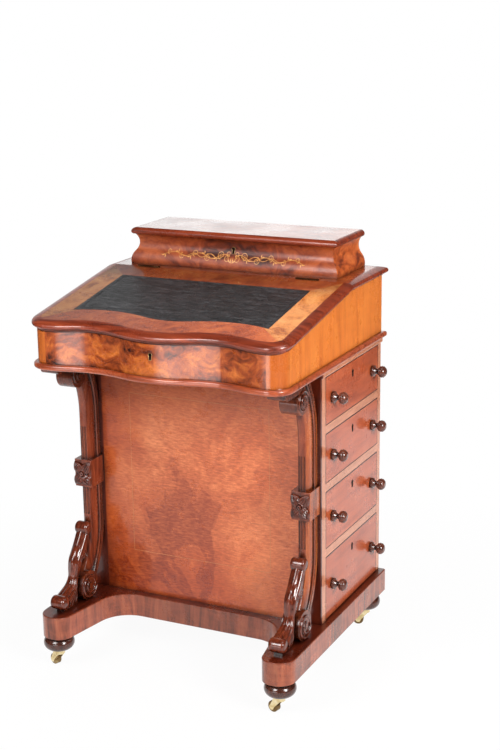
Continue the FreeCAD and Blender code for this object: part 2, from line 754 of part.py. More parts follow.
def knob(x, y, z, outward):
    """A turned knob: base bead, thin neck and a round head, with a tenon behind."""
    tenon = radial(KNOB_TENON_RADIUS, -KNOB_TENON)
    tenon_top = radial(KNOB_TENON_RADIUS, 0)
    sole = radial(KNOB_BASE_SOLE, 0)
    shoulder = radial(KNOB_BASE_SHOULDER, KNOB_BASE)
    neck = radial(KNOB_NECK_RADIUS, KNOB_NECK)
    head = radial(KNOB_HEAD_FOOT, KNOB_HEAD_START)
    widest = radial(KNOB_RADIUS, (KNOB_HEAD_START + KNOB_PROJECTION) / 2)
    tip = radial(KNOB_TIP_RADIUS, KNOB_PROJECTION)
    solid = turned([
        line(radial(0, -KNOB_TENON), tenon),
        line(tenon, tenon_top),
        line(tenon_top, sole),
        Part.Arc(sole, radial(KNOB_BASE_RADIUS, KNOB_BASE / 2), shoulder).toShape(),
        line(shoulder, neck),
        line(neck, head),
        Part.Arc(head, widest, tip).toShape(),
        line(tip, radial(0, KNOB_PROJECTION)),
        line(radial(0, KNOB_PROJECTION), radial(0, -KNOB_TENON)),
    ], 0, 0)
    solid.rotate(Vector(0, 0, 0), Y_AXIS, 90 * outward)
    solid.translate(Vector(x, y, z))
    return solid


def knob_pair(x, floor, ceiling, outward):
    z = knob_height(floor, ceiling)
    return [knob(x, y, z, outward) for y in knob_places()]


def drawer_front(floor, ceiling):
    """A drawer front flush with the drawer side, with its keyhole and knob holes."""
    front = block((PEDESTAL_HALF - DRAWER_FRONT, PEDESTAL_HALF), front_span(),
                  (floor + DRAWER_GAP, ceiling - DRAWER_GAP))
    inward = Vector(-1, 0, 0)
    for hole in knob_holes(PEDESTAL_HALF, inward, knob_height(floor, ceiling), KNOB_TENON):
        front = front.cut(hole)
    eye = Vector(PEDESTAL_HALF, OPENING_MIDDLE_Y, ceiling - DRAWER_GAP - KEYHOLE_DROP)
    return front.cut(keyhole(eye, inward, DRAWER_FRONT))


def drawer_box(floor, ceiling):
    """Sides, back and bottom boards behind a drawer front."""
    front_x = PEDESTAL_HALF - DRAWER_FRONT
    back_x = LEFT_INNER_X + DRAWER_BACK_SPACE
    low_y, high_y = front_span()
    low_z = floor + JOINT_GAP
    high_z = ceiling - DRAWER_SIDE_DROP
    inner_y = (low_y + DRAWER_SIDE, high_y - DRAWER_SIDE)
    bottom_z = low_z + BOTTOM_GROOVE
    return [
        block((back_x, front_x), (low_y, inner_y[0]), (low_z, high_z)),
        block((back_x, front_x), (inner_y[1], high_y), (low_z, high_z)),
        block((back_x, back_x + DRAWER_SIDE), inner_y, (bottom_z + DRAWER_BOTTOM, high_z)),
        block((back_x, front_x), inner_y, (bottom_z, bottom_z + DRAWER_BOTTOM)),
    ]


# Pillars and scroll feet

def pillar_section():
    """The pillar's section on plan: a back fillet with beads and a bowed shaft in front."""
    half_back = PILLAR_WIDTH / 2
    half_shaft = PILLAR_SHAFT_WIDTH / 2
    quirk = half_shaft - PILLAR_QUIRK
    brow = half_shaft - PILLAR_BROW
    bead = half_back - PILLAR_BEAD_RADIUS
    bead_end = PILLAR_BACK + 2 * PILLAR_BEAD_RADIUS
    brow_depth = PILLAR_DEPTH - PILLAR_CROWN

    def at(u, forward):
        return Vector(PILLAR_CENTRE + u, PANEL_Y - forward, 0)

    right = [
        line(at(half_back, 0), at(half_back, PILLAR_BACK)),
        line(at(half_back, PILLAR_BACK), at(bead, PILLAR_BACK)),
        Part.Arc(at(bead, PILLAR_BACK), at(half_back, PILLAR_BACK + PILLAR_BEAD_RADIUS),
                 at(bead, bead_end)).toShape(),
        line(at(bead, bead_end), at(quirk, bead_end)),
        Part.Arc(at(quirk, bead_end), at(half_shaft, (bead_end + brow_depth) / 2),
                 at(brow, brow_depth)).toShape(),
    ]
    crown = Part.Arc(at(brow, brow_depth), at(0, PILLAR_DEPTH), at(-brow, brow_depth))
    left = [edge.mirror(Vector(PILLAR_CENTRE, 0, 0), X_AXIS) for edge in right]
    back = line(at(-half_back, 0), at(half_back, 0))
    return Part.Wire(Part.__sortEdges__([*right, crown.toShape(), *left, back]))


def pillar_shaft():
    """The shaft swept along the pillar's back: straight, and bent forward at both ends."""
    plane = side_plane(PILLAR_CENTRE)
    low = Z_PEDESTAL + PILLAR_BEND_START
    high = Z_BASE - PILLAR_BEND_END
    low_turn = math.degrees(math.asin((PILLAR_BEND_START - LOW_SCROLL_RISE) / PILLAR_BEND_RADIUS))
    high_turn = math.degrees(math.asin(PILLAR_BEND_END / PILLAR_BEND_RADIUS))
    section = pillar_section()
    section.translate(Vector(0, 0, low))
    straight = Part.Face(section).extrude(Z_AXIS * (high - low))
    low_bend = Part.Face(section).revolve(plane(PILLAR_BEND_RADIUS, low), X_AXIS, -low_turn)
    section.translate(Vector(0, 0, high - low))
    high_bend = Part.Face(section).revolve(plane(PILLAR_BEND_RADIUS, high), X_AXIS, high_turn)
    return [straight, low_bend, high_bend]


def volute(forward, z, radius):
    """A scroll end: a drum across the pillar with a raised disc and an eye on both cheeks."""
    drum = []
    steps = ((0.0, radius), (VOLUTE_RELIEF, radius * VOLUTE_SHARE), (2 * VOLUTE_RELIEF, EYE_RADIUS))
    for reach, size in steps:
        width = SCROLL_WIDTH + 2 * reach
        start = side_plane(PILLAR_CENTRE - width / 2)(forward, z)
        drum.append(rod(size, start, X_AXIS, width))
    return drum


def patera(z):
    """Four domed petals and a boss on the face of the pillar's block."""
    face_y = PANEL_Y - BLOCK_DEPTH
    leaf = PETAL_OFFSET / math.sqrt(2)
    bosses = [(0.0, 0.0, BOSS_RADIUS, BOSS_RELIEF)]
    for across in (-leaf, leaf):
        for up in (-leaf, leaf):
            bosses.append((across, up, PETAL_RADIUS, PETAL_RELIEF))
    domes = []
    for across, up, radius, relief in bosses:
        sphere = (radius ** 2 + relief ** 2) / (2 * relief)
        centre = Vector(PILLAR_CENTRE + across, face_y - relief + sphere, z + up)
        ball = Part.makeSphere(sphere, centre)
        front = block((centre.x - radius, centre.x + radius), (face_y - 2 * relief, face_y),
                      (centre.z - radius, centre.z + radius))
        domes.append(ball.common(front))
    return domes


def pillar():
    """One carved pillar: shaft, scrolls, cap and the square block with its flower."""
    block_z = Z_PEDESTAL + BLOCK_RISE
    middle = block_z + BLOCK_HEIGHT / 2
    x = (PILLAR_CENTRE - BLOCK_WIDTH / 2, PILLAR_CENTRE + BLOCK_WIDTH / 2)
    square = block(x, (PANEL_Y - BLOCK_DEPTH, PANEL_Y), (block_z, block_z + BLOCK_HEIGHT))
    corners = [edge for edge in square.Edges
               if edge.BoundBox.ZLength > 1 and edge.BoundBox.YMax < PANEL_Y - BLOCK_DEPTH + 1e-6]
    square = square.makeFillet(BLOCK_EASING, corners)
    plane = side_plane(PILLAR_CENTRE - SCROLL_WIDTH / 2)
    cap_low = Z_BASE - CAP_THICKNESS
    cap = rounded_outline([
        (TOP_SCROLL_FORWARD, Z_BASE, 0),
        (CAP_REACH, Z_BASE, 0),
        (CAP_REACH, cap_low, CAP_ROUNDING),
        (TOP_SCROLL_FORWARD, cap_low, 0),
    ], plane).extrude(X_AXIS * SCROLL_WIDTH)
    top = volute(TOP_SCROLL_FORWARD, Z_BASE - TOP_SCROLL_DROP, TOP_SCROLL_RADIUS)
    low = volute(LOW_SCROLL_FORWARD, Z_PEDESTAL + LOW_SCROLL_RISE, LOW_SCROLL_RADIUS)
    whole = union([*pillar_shaft(), *top, *low, cap, square, *patera(middle)])
    whole = whole.cut(flutes(block_z))
    wide = BLOCK_WIDTH
    room = block((PILLAR_CENTRE - wide, PILLAR_CENTRE + wide), (PANEL_Y - 2 * CAP_REACH, PANEL_Y),
                 (Z_PEDESTAL, Z_BASE))
    return whole.common(room)


def flutes(block_z):
    """Grooves down the bowed front of the shaft, above and below the block."""
    cutters = []
    for index in range(FLUTE_COUNT):
        u = (index - (FLUTE_COUNT - 1) / 2) * FLUTE_PITCH
        sag = PILLAR_CROWN * (u / (PILLAR_SHAFT_WIDTH / 2 - PILLAR_BROW)) ** 2
        y = PANEL_Y - PILLAR_DEPTH + sag
        for start, length in ((block_z - LOWER_FLUTE_LENGTH, LOWER_FLUTE_LENGTH),
                              (block_z + BLOCK_HEIGHT, UPPER_FLUTE_LENGTH)):
            cutters.append(rod(FLUTE_RADIUS, Vector(PILLAR_CENTRE + u, y, start), Z_AXIS, length))
    return Part.makeCompound(cutters)


def top_roll_forward():
    """Where the foot's top roll rests against the bent front of the pillar."""
    reach = PILLAR_BEND_RADIUS - PILLAR_DEPTH - FOOT_TOP_ROLL_RADIUS - JOINT_GAP
    drop = PILLAR_BEND_START - FOOT_TOP_ROLL_RISE
    return PILLAR_BEND_RADIUS - math.sqrt(reach ** 2 - drop ** 2)


def on_foot(forward_share, down_share):
    """Forward distance and height of a place between the foot's two rolls."""
    top = top_roll_forward()
    toe = TOE_LENGTH - FOOT_TOE_ROLL_INSET
    fall = FOOT_TOP_ROLL_RISE - FOOT_TOE_ROLL_RISE
    height = Z_PEDESTAL + FOOT_TOP_ROLL_RISE - down_share * fall
    return top + forward_share * (toe - top), height


def foot_section(forward_share, down_share, lean, width, depth):
    """An oval across the scroll foot; lean is the slope of its path below level."""
    turn = math.radians(lean)
    centre = side_plane(PILLAR_CENTRE)(*on_foot(forward_share, down_share))
    outward = Vector(0, -math.sin(turn), math.cos(turn))
    oval = Part.Ellipse(centre + X_AXIS * (width / 2), centre + outward * (depth / 2), centre)
    return Part.Wire(oval.toShape())


def foot_rod(radius, forward_share, down_share, width):
    """A rod across the foot, with eased ends."""
    start = side_plane(PILLAR_CENTRE - width / 2)(*on_foot(forward_share, down_share))
    solid = rod(radius, start, X_AXIS, width)
    ends = [edge for edge in solid.Edges if edge.BoundBox.XLength < 1e-6]
    return solid.makeFillet(FOOT_ROLL_EASING, ends)


def foot_plate(corners, width):
    """A plate across the foot from its outline in forward distance and height."""
    return rounded_outline(corners, side_plane(PILLAR_CENTRE - width / 2)).extrude(X_AXIS * width)


def scroll_foot():
    """A carved S-scroll on the toe of the plinth, leaning back against the pillar."""
    strut = Part.makeLoft([foot_section(*station) for station in FOOT_STATIONS], True)
    leaf = foot_plate([(*on_foot(*corner[:2]), corner[2]) for corner in FOOT_LEAF], FOOT_LEAF_WIDTH)
    heel = LOW_SCROLL_FORWARD + LOW_SCROLL_RADIUS + FOOT_STEM_GAP
    toe_forward, toe_height = on_foot(1, 1)
    stem = foot_plate([
        (heel, Z_PEDESTAL, 0),
        (toe_forward, Z_PEDESTAL, 0),
        (toe_forward, toe_height, 0),
        (*on_foot(*FOOT_STEM), 0),
        (heel + FOOT_STEM_LEAN, Z_PEDESTAL + FOOT_STEM_RISE, 0),
    ], FOOT_STEM_WIDTH)
    rolls = [
        foot_rod(FOOT_TOP_ROLL_RADIUS, 0, 0, FOOT_ROLL_WIDTH),
        foot_rod(FOOT_TOE_ROLL_RADIUS, 1, 1, FOOT_ROLL_WIDTH),
        foot_rod(FOOT_CURL_RADIUS, *FOOT_CURL, FOOT_CURL_WIDTH),
    ]
    return union([strut, leaf, stem, *rolls])


# Desk body

def lid_underside(y):
    """Height of the sloping lid's underside at a place on plan."""
    return Z_DECK_TOP - LID_THICKNESS / math.cos(SLOPE) - (HINGE_Y - y) * math.tan(SLOPE)


def above_lid_underside():
    """Everything above the plane that the lid's underside lies in, in front of the hinge line."""
    reach = 2 * DESK_EAR_DEPTH
    corners = [
        Vector(-reach, HINGE_Y, lid_underside(HINGE_Y)),
        Vector(-reach, HINGE_Y - reach, lid_underside(HINGE_Y - reach)),
        Vector(-reach, HINGE_Y - reach, Z_DECK_TOP + reach),
        Vector(-reach, HINGE_Y, Z_DECK_TOP + reach),
    ]
    return Part.Face(Part.makePolygon([*corners, corners[0]])).extrude(X_AXIS * (2 * reach))


def desk_base():
    """The desk's floor board with a rounded nose that follows the serpentine all round."""
    board = serpentine_board(EAR_Y, BACK_Y + BASE_OUT, BASE_OUT, Z_BASE, BASE_THICKNESS)
    rim = [edge for edge in board.Edges if edge.BoundBox.ZLength < 1e-6]
    return board.makeFillet(BASE_NOSE_RADIUS, rim)


def desk_front():
    """The serpentine front board, its corners carried round to meet the sides."""
    shoulder = EAR_Y + CORNER_RADIUS
    inner = DESK_HALF - DESK_WALL
    outer_edges = serpentine(EAR_Y, 0.0, Z_DESK)
    inner_edges = serpentine(EAR_Y, -DESK_WALL, Z_DESK)
    ends = [line(Vector(side * DESK_HALF, shoulder, Z_DESK), Vector(side * inner, shoulder, Z_DESK))
            for side in (-1, 1)]
    board = face_of([*outer_edges, *inner_edges, *ends]).extrude(Z_AXIS * DESK_BACK_HEIGHT)
    place = desk_lock_place()
    eye = Vector(place.x, EAR_Y - SERPENTINE_BOW, place.top - KEYHOLE_DROP)
    hole = keyhole(eye, Y_AXIS, SERPENTINE_HOLLOW + DESK_WALL)
    return board.cut(above_lid_underside()).cut(hole).cut(lock_housing(place))


def desk_side(sign):
    """A side board with its sloping top edge."""
    x = sorted((sign * DESK_HALF, sign * (DESK_HALF - DESK_WALL)))
    board = block(x, (EAR_Y + CORNER_RADIUS, BACK_Y), (Z_DESK, Z_DECK))
    return board.cut(above_lid_underside())


def desk_back():
    inner = DESK_HALF - DESK_WALL
    return block((-inner, inner), (BACK_Y - DESK_WALL, BACK_Y), (Z_DESK, Z_DECK))


def desk_deck():
    """The fixed deck behind the lid, moulded on its sides and back."""
    core_side = DESK_HALF - NOSE_IN
    core = block((-core_side, core_side), (HINGE_Y, BACK_Y - NOSE_IN), (Z_DECK, Z_DECK_TOP))
    corners = [
        Vector(-DESK_HALF, HINGE_Y, Z_DECK),
        Vector(-DESK_HALF, BACK_Y, Z_DECK),
        Vector(DESK_HALF, BACK_Y, Z_DECK),
        Vector(DESK_HALF, HINGE_Y, Z_DECK),
    ]
    path = [line(a, b) for a, b in zip(corners, corners[1:])]
    nose = sweep(path, nose_profile(corners[0], DECK_THICKNESS), mitred=True)
    deck = union([core, nose])
    for x in (-HINGE_X, HINGE_X):
        deck = deck.cut(hinge_room(Vector(x, HINGE_Y, Z_DECK_TOP), 0, fixed=True))
    return deck


# Hinges

def butt_hinge():
    """A fixed and a moving leaf about the X axis; the fixed leaf is on the +Y side, hanging down."""
    third = HINGE_LENGTH / 3
    start = -HINGE_LENGTH / 2
    ends = [(start, start + third), (start + 2 * third, start + HINGE_LENGTH)]
    middle = (start + third + JOINT_GAP, start + 2 * third - JOINT_GAP)
    half_gap = LID_GAP / 2

    def knuckle(span, radius):
        return rod(radius, Vector(span[0], 0, 0), X_AXIS, span[1] - span[0])

    def leaf(low, high):
        return block((start, start + HINGE_LENGTH), (low, high), (-LEAF_HEIGHT, 0))

    room = KNUCKLE_RADIUS + JOINT_GAP
    fixed_leaf = leaf(half_gap, half_gap + LEAF_THICKNESS)
    fixed_leaf = fixed_leaf.cut(knuckle((middle[0] - 2 * JOINT_GAP, middle[1] + 2 * JOINT_GAP), room))
    pin = rod(HINGE_PIN_RADIUS, Vector(start, 0, 0), X_AXIS, HINGE_LENGTH)
    fixed = union([fixed_leaf, pin, *[knuckle(span, KNUCKLE_RADIUS) for span in ends]])
    moving = leaf(-half_gap - LEAF_THICKNESS, -half_gap)
    for span in ends:
        moving = moving.cut(knuckle((span[0] - JOINT_GAP, span[1] + JOINT_GAP), room))
    moving = union([moving, knuckle(middle, KNUCKLE_RADIUS)])
    moving = moving.cut(rod(HINGE_PIN_RADIUS + RUNNING_FIT, Vector(start, 0, 0), X_AXIS, HINGE_LENGTH))
    return fixed, moving


def hinge_room(place, turn, fixed):
    """The recess that a hinge needs in the board on one side of it."""
    half_gap = LID_GAP / 2
    start = -HINGE_LENGTH / 2
    depth = half_gap + LEAF_THICKNESS
    y = (0.0, depth) if fixed else (-depth, 0.0)
    barrel = rod(KNUCKLE_RADIUS + JOINT_GAP, Vector(start, 0, 0), X_AXIS, HINGE_LENGTH)
    room = barrel.fuse(block((start, -start), y, (-LEAF_HEIGHT, 0)))
    return placed(room, place, turn)


def placed(shape, place, turn):
    """A hinge piece turned about its own axis and carried to its place."""
    moved = shape.copy()
    moved.rotate(Vector(0, 0, 0), X_AXIS, turn)
    moved.translate(place)
    return moved


def lid_hinge_places():
    return [Vector(x, HINGE_Y, Z_DECK_TOP) for x in (-HINGE_X, HINGE_X)]


def box_hinge_places():
    return [Vector(x, BACK_Y - BOX_BACK_DEPTH, Z_BOX_LID) for x in (-HINGE_X, HINGE_X)]


def hinge_set(index):
    """All fixed (0) or moving (1) leaves: those of the lid, and those of the stationery box."""
    leaf = butt_hinge()[index]
    lid = [placed(leaf, place, 0) for place in lid_hinge_places()]
    box = [placed(leaf, place, -90) for place in box_hinge_places()]
    return lid, box


# Sloping lid and leather, modelled flat with the top at the hinge line's height, then tilted

def tilted(shape):
    turned_down = shape.copy()
    turned_down.rotate(Vector(0, HINGE_Y, Z_DECK_TOP), X_AXIS, LID_SLOPE)
    return turned_down


def leather_outline(z):
    """The writing surface: straight at the top and sides, serpentine along the sitter's edge."""
    ear_y = HINGE_Y - LID_RUN
    back_y = HINGE_Y - LEATHER_TOP_MARGIN
    board = serpentine_wave(ear_y, back_y, z)
    side = DESK_HALF - LEATHER_SIDE_MARGIN
    strip = block((-side, side), (ear_y - DESK_HALF, back_y),
                  (z - LEATHER_THICKNESS, z))
    return board.common(strip)


def serpentine_wave(ear_y, back_y, z):
    """The leather's full-width blank, its front parallel to the lid's edge."""
    front = serpentine(ear_y, -LEATHER_FRONT_MARGIN, z - LEATHER_THICKNESS)[1:-1]
    ends = [vertex.Point for edge in (front[0], front[-1]) for vertex in edge.Vertexes]
    left = min(ends, key=lambda point: point.x)
    right = max(ends, key=lambda point: point.x)
    back_left = Vector(left.x, back_y, left.z)
    back_right = Vector(right.x, back_y, right.z)
    sides = [line(left, back_left), line(back_left, back_right), line(back_right, right)]
    return face_of([*front, *sides]).extrude(Z_AXIS * LEATHER_THICKNESS)


def slope_lid():
    """The writing slope: a serpentine board with a thumb moulding on three sides."""
    ear_y = HINGE_Y - LID_RUN
    low = Z_DECK_TOP - LID_THICKNESS
    core = serpentine_board(ear_y, HINGE_Y, -NOSE_IN, low, LID_THICKNESS)
    path = serpentine_path(ear_y, HINGE_Y, 0.0, low)
    nose = sweep(path, nose_profile(Vector(-DESK_HALF, HINGE_Y, low), LID_THICKNESS))
    lid = union([core, nose]).cut(leather_outline(Z_DECK_TOP))
    lid = tilted(lid)
    reach = DESK_WIDTH
    behind = block((-reach, reach), (HINGE_Y - LID_GAP / 2, HINGE_Y + reach), (Z_DESK, Z_DECK_TOP + reach))
    lid = lid.cut(behind)
    for place in lid_hinge_places():
        lid = lid.cut(hinge_room(place, 0, fixed=False))
    lock = desk_lock_place()
    return lid.cut(bolt_mortise(lock, lock.top + LID_GAP))


def writing_leather():
    return tilted(leather_outline(Z_DECK_TOP))


# Stationery box

def ogee_profile(at):
    """The box wall's section: coved above, bulging below; at(out, height) places a point."""
    height = BOX_WALL_HEIGHT
    cove_centre = (BOX_COVE_RADIUS, BOX_INFLECTION + (height - BOX_INFLECTION) / 2)
    rise = height - cove_centre[1]
    cove_edge = BOX_COVE_RADIUS - math.sqrt(BOX_COVE_RADIUS ** 2 - rise ** 2)
    top = at(cove_edge, height)
    inflection = at(cove_edge, BOX_INFLECTION)
    lean = math.atan2(rise, BOX_COVE_RADIUS - cove_edge)
    bulge_x = cove_edge - BOX_BULGE_RADIUS * math.cos(lean)
    bulge_z = BOX_INFLECTION - BOX_BULGE_RADIUS * math.sin(lean)

    def bulge(h):
        return at(bulge_x + math.sqrt(BOX_BULGE_RADIUS ** 2 - (h - bulge_z) ** 2), h)

    edges = [
        Part.Arc(top, at(0, cove_centre[1]), inflection).toShape(),
        Part.Arc(inflection, bulge(BOX_INFLECTION / 2), bulge(0)).toShape(),
        line(bulge(0), at(-BOX_WALL, 0)),
        line(at(-BOX_WALL, 0), at(-BOX_WALL, height)),
        line(at(-BOX_WALL, height), top),
    ]
    return face_of(edges)


def mitre(sign, keep_front):
    """The half of a front corner of the box that one of its two walls keeps."""
    reach = 4 * BOX_FRONT_DEPTH
    corner = Vector(sign * BOX_HALF_WIDTH, BACK_Y - BOX_FRONT_DEPTH, Z_DECK_TOP)
    inner = corner + Vector(-sign * reach, reach, 0)
    outer = corner + Vector(sign * reach, -reach, 0)
    third = corner + (Vector(-sign * reach, -reach, 0) if keep_front else Vector(sign * reach, reach, 0))
    wedge = Part.Face(Part.makePolygon([inner, outer, third, inner]))
    return wedge.extrude(Z_AXIS * (2 * BOX_WALL_HEIGHT))


def stationery_case():
    """The ogee front and ends of the box, mitred at the front corners."""
    front_y = BACK_Y - BOX_FRONT_DEPTH
    length = 2 * BOX_HALF_WIDTH
    spare = BOX_FRONT_DEPTH
    front = ogee_profile(lambda out, h: Vector(-BOX_HALF_WIDTH - spare, front_y - out, Z_DECK_TOP + h))
    front = front.extrude(X_AXIS * (length + 2 * spare))
    front = front.common(mitre(-1, True)).common(mitre(1, True))
    eye = Vector(0, front_y - spare, Z_BOX_LID - BOX_KEYHOLE_DROP)
    front = front.cut(keyhole(eye, Y_AXIS, spare + BOX_WALL + LOCK_DEPTH / 4))
    ends = []
    for sign in (-1, 1):
        back = BACK_Y - BOX_BACK_DEPTH
        end = ogee_profile(lambda out, h: Vector(sign * (BOX_HALF_WIDTH + out), back, Z_DECK_TOP + h))
        end = end.extrude(Vector(0, -2 * BOX_FRONT_DEPTH, 0))
        ends.append(end.common(mitre(sign, False)))
    return [front, *ends]


def stationery_back():
    inner = BOX_HALF_WIDTH - BOX_WALL
    back = BACK_Y - BOX_BACK_DEPTH
    board = block((-inner, inner), (back - BOX_BACK_WALL, back), (Z_DECK_TOP, Z_BOX_LID))
    for place in box_hinge_places():
        board = board.cut(hinge_room(place, -90, fixed=True))
    return board


def stationery_partitions():
    """Two divisions between the front and the back of the box."""
    low = BACK_Y - BOX_FRONT_DEPTH + BOX_WALL
    high = BACK_Y - BOX_BACK_DEPTH - BOX_BACK_WALL
    half = PARTITION_THICKNESS / 2
    third = (BOX_HALF_WIDTH - BOX_WALL + half) / 3
    return [block((x - half, x + half), (low, high), (Z_DECK_TOP, Z_DECK_TOP + PARTITION_HEIGHT))
            for x in (-third, third)]


def stationery_lid():
    """The box lid, moulded on its front and ends and plain along its hinged back."""
    back = BACK_Y - BOX_BACK_DEPTH
    front = BACK_Y - BOX_FRONT_DEPTH
    corners = [
        Vector(-BOX_HALF_WIDTH, back, Z_BOX_LID),
        Vector(-BOX_HALF_WIDTH, front, Z_BOX_LID),
        Vector(BOX_HALF_WIDTH, front, Z_BOX_LID),
        Vector(BOX_HALF_WIDTH, back, Z_BOX_LID),
    ]

    def at(out, drop):
        return corners[0] + Vector(-out, 0, BOX_LID_THICKNESS - drop)

    tip = at(BOX_LID_NOSE, BOX_LID_NOSE_DROP)
    round_under = BOX_LID_THICKNESS - BOX_LID_NOSE_DROP
    foot = at(BOX_LID_NOSE - round_under, BOX_LID_THICKNESS)
    half_turn = math.sqrt(0.5)
    bulge = at(BOX_LID_NOSE - round_under * (1 - half_turn), BOX_LID_NOSE_DROP + round_under * half_turn)
    profile = Part.Wire([
        *basket_arch(at, BOX_LID_FLAT, BOX_LID_NOSE - BOX_LID_FLAT, BOX_LID_NOSE_DROP, BOX_LID_TIP_RADIUS),
        Part.Arc(tip, bulge, foot).toShape(),
        line(foot, at(0, BOX_LID_THICKNESS)),
        line(at(0, BOX_LID_THICKNESS), at(0, 0)),
        line(at(0, 0), at(BOX_LID_FLAT, 0)),
    ])
    nose = sweep([line(a, b) for a, b in zip(corners, corners[1:])], profile, mitred=True)
    core = block((-BOX_HALF_WIDTH, BOX_HALF_WIDTH), (front, back), (Z_BOX_LID, Z_BOX_LID + BOX_LID_THICKNESS))
    lid = union([core, nose])
    for place in box_hinge_places():
        lid = lid.cut(hinge_room(place, -90, fixed=False))
    lock = box_lock_place()
    return lid.cut(bolt_mortise(lock, Z_BOX_LID))


def all_nodes():
    """Every node by name, as a list of its solids."""
    nodes = {
        "plinth": [plinth()],
        "bun_feet": [bun_foot(x, y) for x, y in foot_places().values()],
        "castor_plates": [castor_plate(x, y) for x, y in foot_places().values()],
        "pedestal_front_panel": [pedestal_front_panel()],
        "pedestal_back_panel": [pedestal_back_panel()],
        "pedestal_left_panel": [pedestal_left_panel()],
        "pedestal_top": [pedestal_top()],
        "drawer_rails": drawer_rails(),
        "drawer_runners": drawer_runners(),
        "dummy_drawer_fronts": [dummy_drawer_front(*levels) for levels in opening_levels()],
        "dummy_knobs": [one for levels in opening_levels() for one in knob_pair(-PEDESTAL_HALF, *levels, -1)],
        "desk_base": [desk_base()],
        "desk_front": [desk_front()],
        "desk_sides": [desk_side(-1), desk_side(1)],
        "desk_back": [desk_back()],
        "desk_deck": [desk_deck()],
        "slope_lid": [slope_lid()],
        "writing_leather": [writing_leather()],
        "stationery_case": stationery_case(),
        "stationery_back": [stationery_back()],
        "stationery_partitions": stationery_partitions(),
        "stationery_lid": [stationery_lid()],
        "fixed_lock_cases": [lock_case(desk_lock_place()), lock_case(box_lock_place())],
        "desk_lock_bolt": [lock_bolt(desk_lock_place())],
        "stationery_lock_bolt": [lock_bolt(box_lock_place())],
    }
    right_pillar = pillar()
    right_foot = scroll_foot()
    nodes["pillar_right"] = [right_pillar]
    nodes["pillar_left"] = [mirrored(right_pillar)]
    nodes["scroll_foot_right"] = [right_foot]
    nodes["scroll_foot_left"] = [mirrored(right_foot)]
    fixed_lid, fixed_box = hinge_set(0)
    nodes["fixed_hinge_leaves"] = [*fixed_lid, *fixed_box]
    nodes["slope_lid_hinge_leaves"], nodes["stationery_lid_hinge_leaves"] = hinge_set(1)
    for name, (x, y) in foot_places().items():
        heading = CASTOR_HEADINGS[name]
        nodes["castor_horn_" + name] = [castor_horn(x, y, heading)]
        nodes["castor_wheel_" + name] = [castor_wheel(x, y, heading)]
    for number, levels in enumerate(opening_levels(), 1):
        lock = drawer_lock_place(levels[1])
        prefix = "drawer_%d_" % number
        nodes[prefix + "front"] = [drawer_front(*levels)]
        nodes[prefix + "box"] = drawer_box(*levels)
        nodes[prefix + "knobs"] = knob_pair(PEDESTAL_HALF, *levels, 1)
        nodes[prefix + "lock_case"] = [lock_case(lock)]
        nodes[prefix + "lock_bolt"] = [lock_bolt(lock)]
    return nodes


def main():
    os.makedirs("parts", exist_ok=True)
    for name, solids in all_nodes().items():
        shape = solids[0] if len(solids) == 1 else Part.makeCompound(solids)
        shape.exportStep("parts/%s.step" % name)


main()
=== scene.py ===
import math

import bmesh
import bpy
from mathutils import Matrix, Vector
from mathutils.bvhtree import BVHTree


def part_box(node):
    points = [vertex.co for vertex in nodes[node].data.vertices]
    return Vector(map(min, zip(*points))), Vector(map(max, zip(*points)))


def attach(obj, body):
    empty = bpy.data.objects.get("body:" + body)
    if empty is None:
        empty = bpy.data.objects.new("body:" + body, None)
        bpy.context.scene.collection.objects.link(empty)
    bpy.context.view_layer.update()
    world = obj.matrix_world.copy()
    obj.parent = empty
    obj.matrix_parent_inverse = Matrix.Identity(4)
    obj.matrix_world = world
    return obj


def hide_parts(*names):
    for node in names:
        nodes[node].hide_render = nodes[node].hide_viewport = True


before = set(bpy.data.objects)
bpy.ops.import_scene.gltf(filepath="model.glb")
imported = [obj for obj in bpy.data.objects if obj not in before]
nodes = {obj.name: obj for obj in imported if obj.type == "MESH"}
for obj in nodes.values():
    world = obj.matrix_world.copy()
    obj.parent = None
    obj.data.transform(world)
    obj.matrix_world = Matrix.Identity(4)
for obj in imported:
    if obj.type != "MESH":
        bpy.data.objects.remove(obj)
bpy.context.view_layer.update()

# Camera, solved on the straight edges of the photograph
PHOTO_HEIGHT = 750
FOCAL_PIXELS = 1485.5
SENSOR = 36.0
CAMERA_PLACE = Vector((1.3447, -2.5957, 1.3931))
CAMERA_AZIMUTH, CAMERA_ELEVATION, CAMERA_ROLL = 25.9, 15.3, -0.8

# Forms that the added pieces follow, in metres
PANEL_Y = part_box("pedestal_front_panel")[0][1]
PLINTH_TOP = 0.120
PILLAR_X = 0.2465
CAST_REACH = 0.08
TOP_VOLUTE = (-0.14725, 0.607, 0.0255)
LOW_VOLUTE = (-0.14225, 0.1495, 0.031)
FOOT_TOP_ROLL = (-0.12675, 0.270)
FOOT_TOE_ROLL = (-0.22775, 0.141)
FOOT_CURL = (-0.1404, 0.216, 0.0100)
FOOT_STATIONS = (
    # forward of the panel, above the plinth, lean in degrees, width, depth
    (0.0610, 0.1397, 42, 0.026, 0.0210),
    (0.0757, 0.1132, 48, 0.027, 0.0260),
    (0.0939, 0.0907, 62, 0.026, 0.0250),
    (0.0999, 0.0745, 80, 0.024, 0.0210),
    (0.1055, 0.0571, 80, 0.020, 0.0165),
    (0.1176, 0.0371, 48, 0.022, 0.0170),
    (0.1484, 0.0210, 22, 0.027, 0.0220),
)
FOOT_ROWS, FOOT_TURNS = 80, 96
CHEEK_RIB_TOP, CHEEK_RIB_FOOT = 0.050, 0.003
BLOCK_FACE_Y, BLOCK_MIDDLE_Z = -0.11925, 0.387
PETAL_LENGTH, PETAL_HALF, PETAL_CREST = 0.0305, 0.0116, 0.0068
PETAL_ANGLE = math.radians(53)
RING_STEPS = 32
KNOB_RINGS = (0.16, 0.58, 0.70, 0.82)
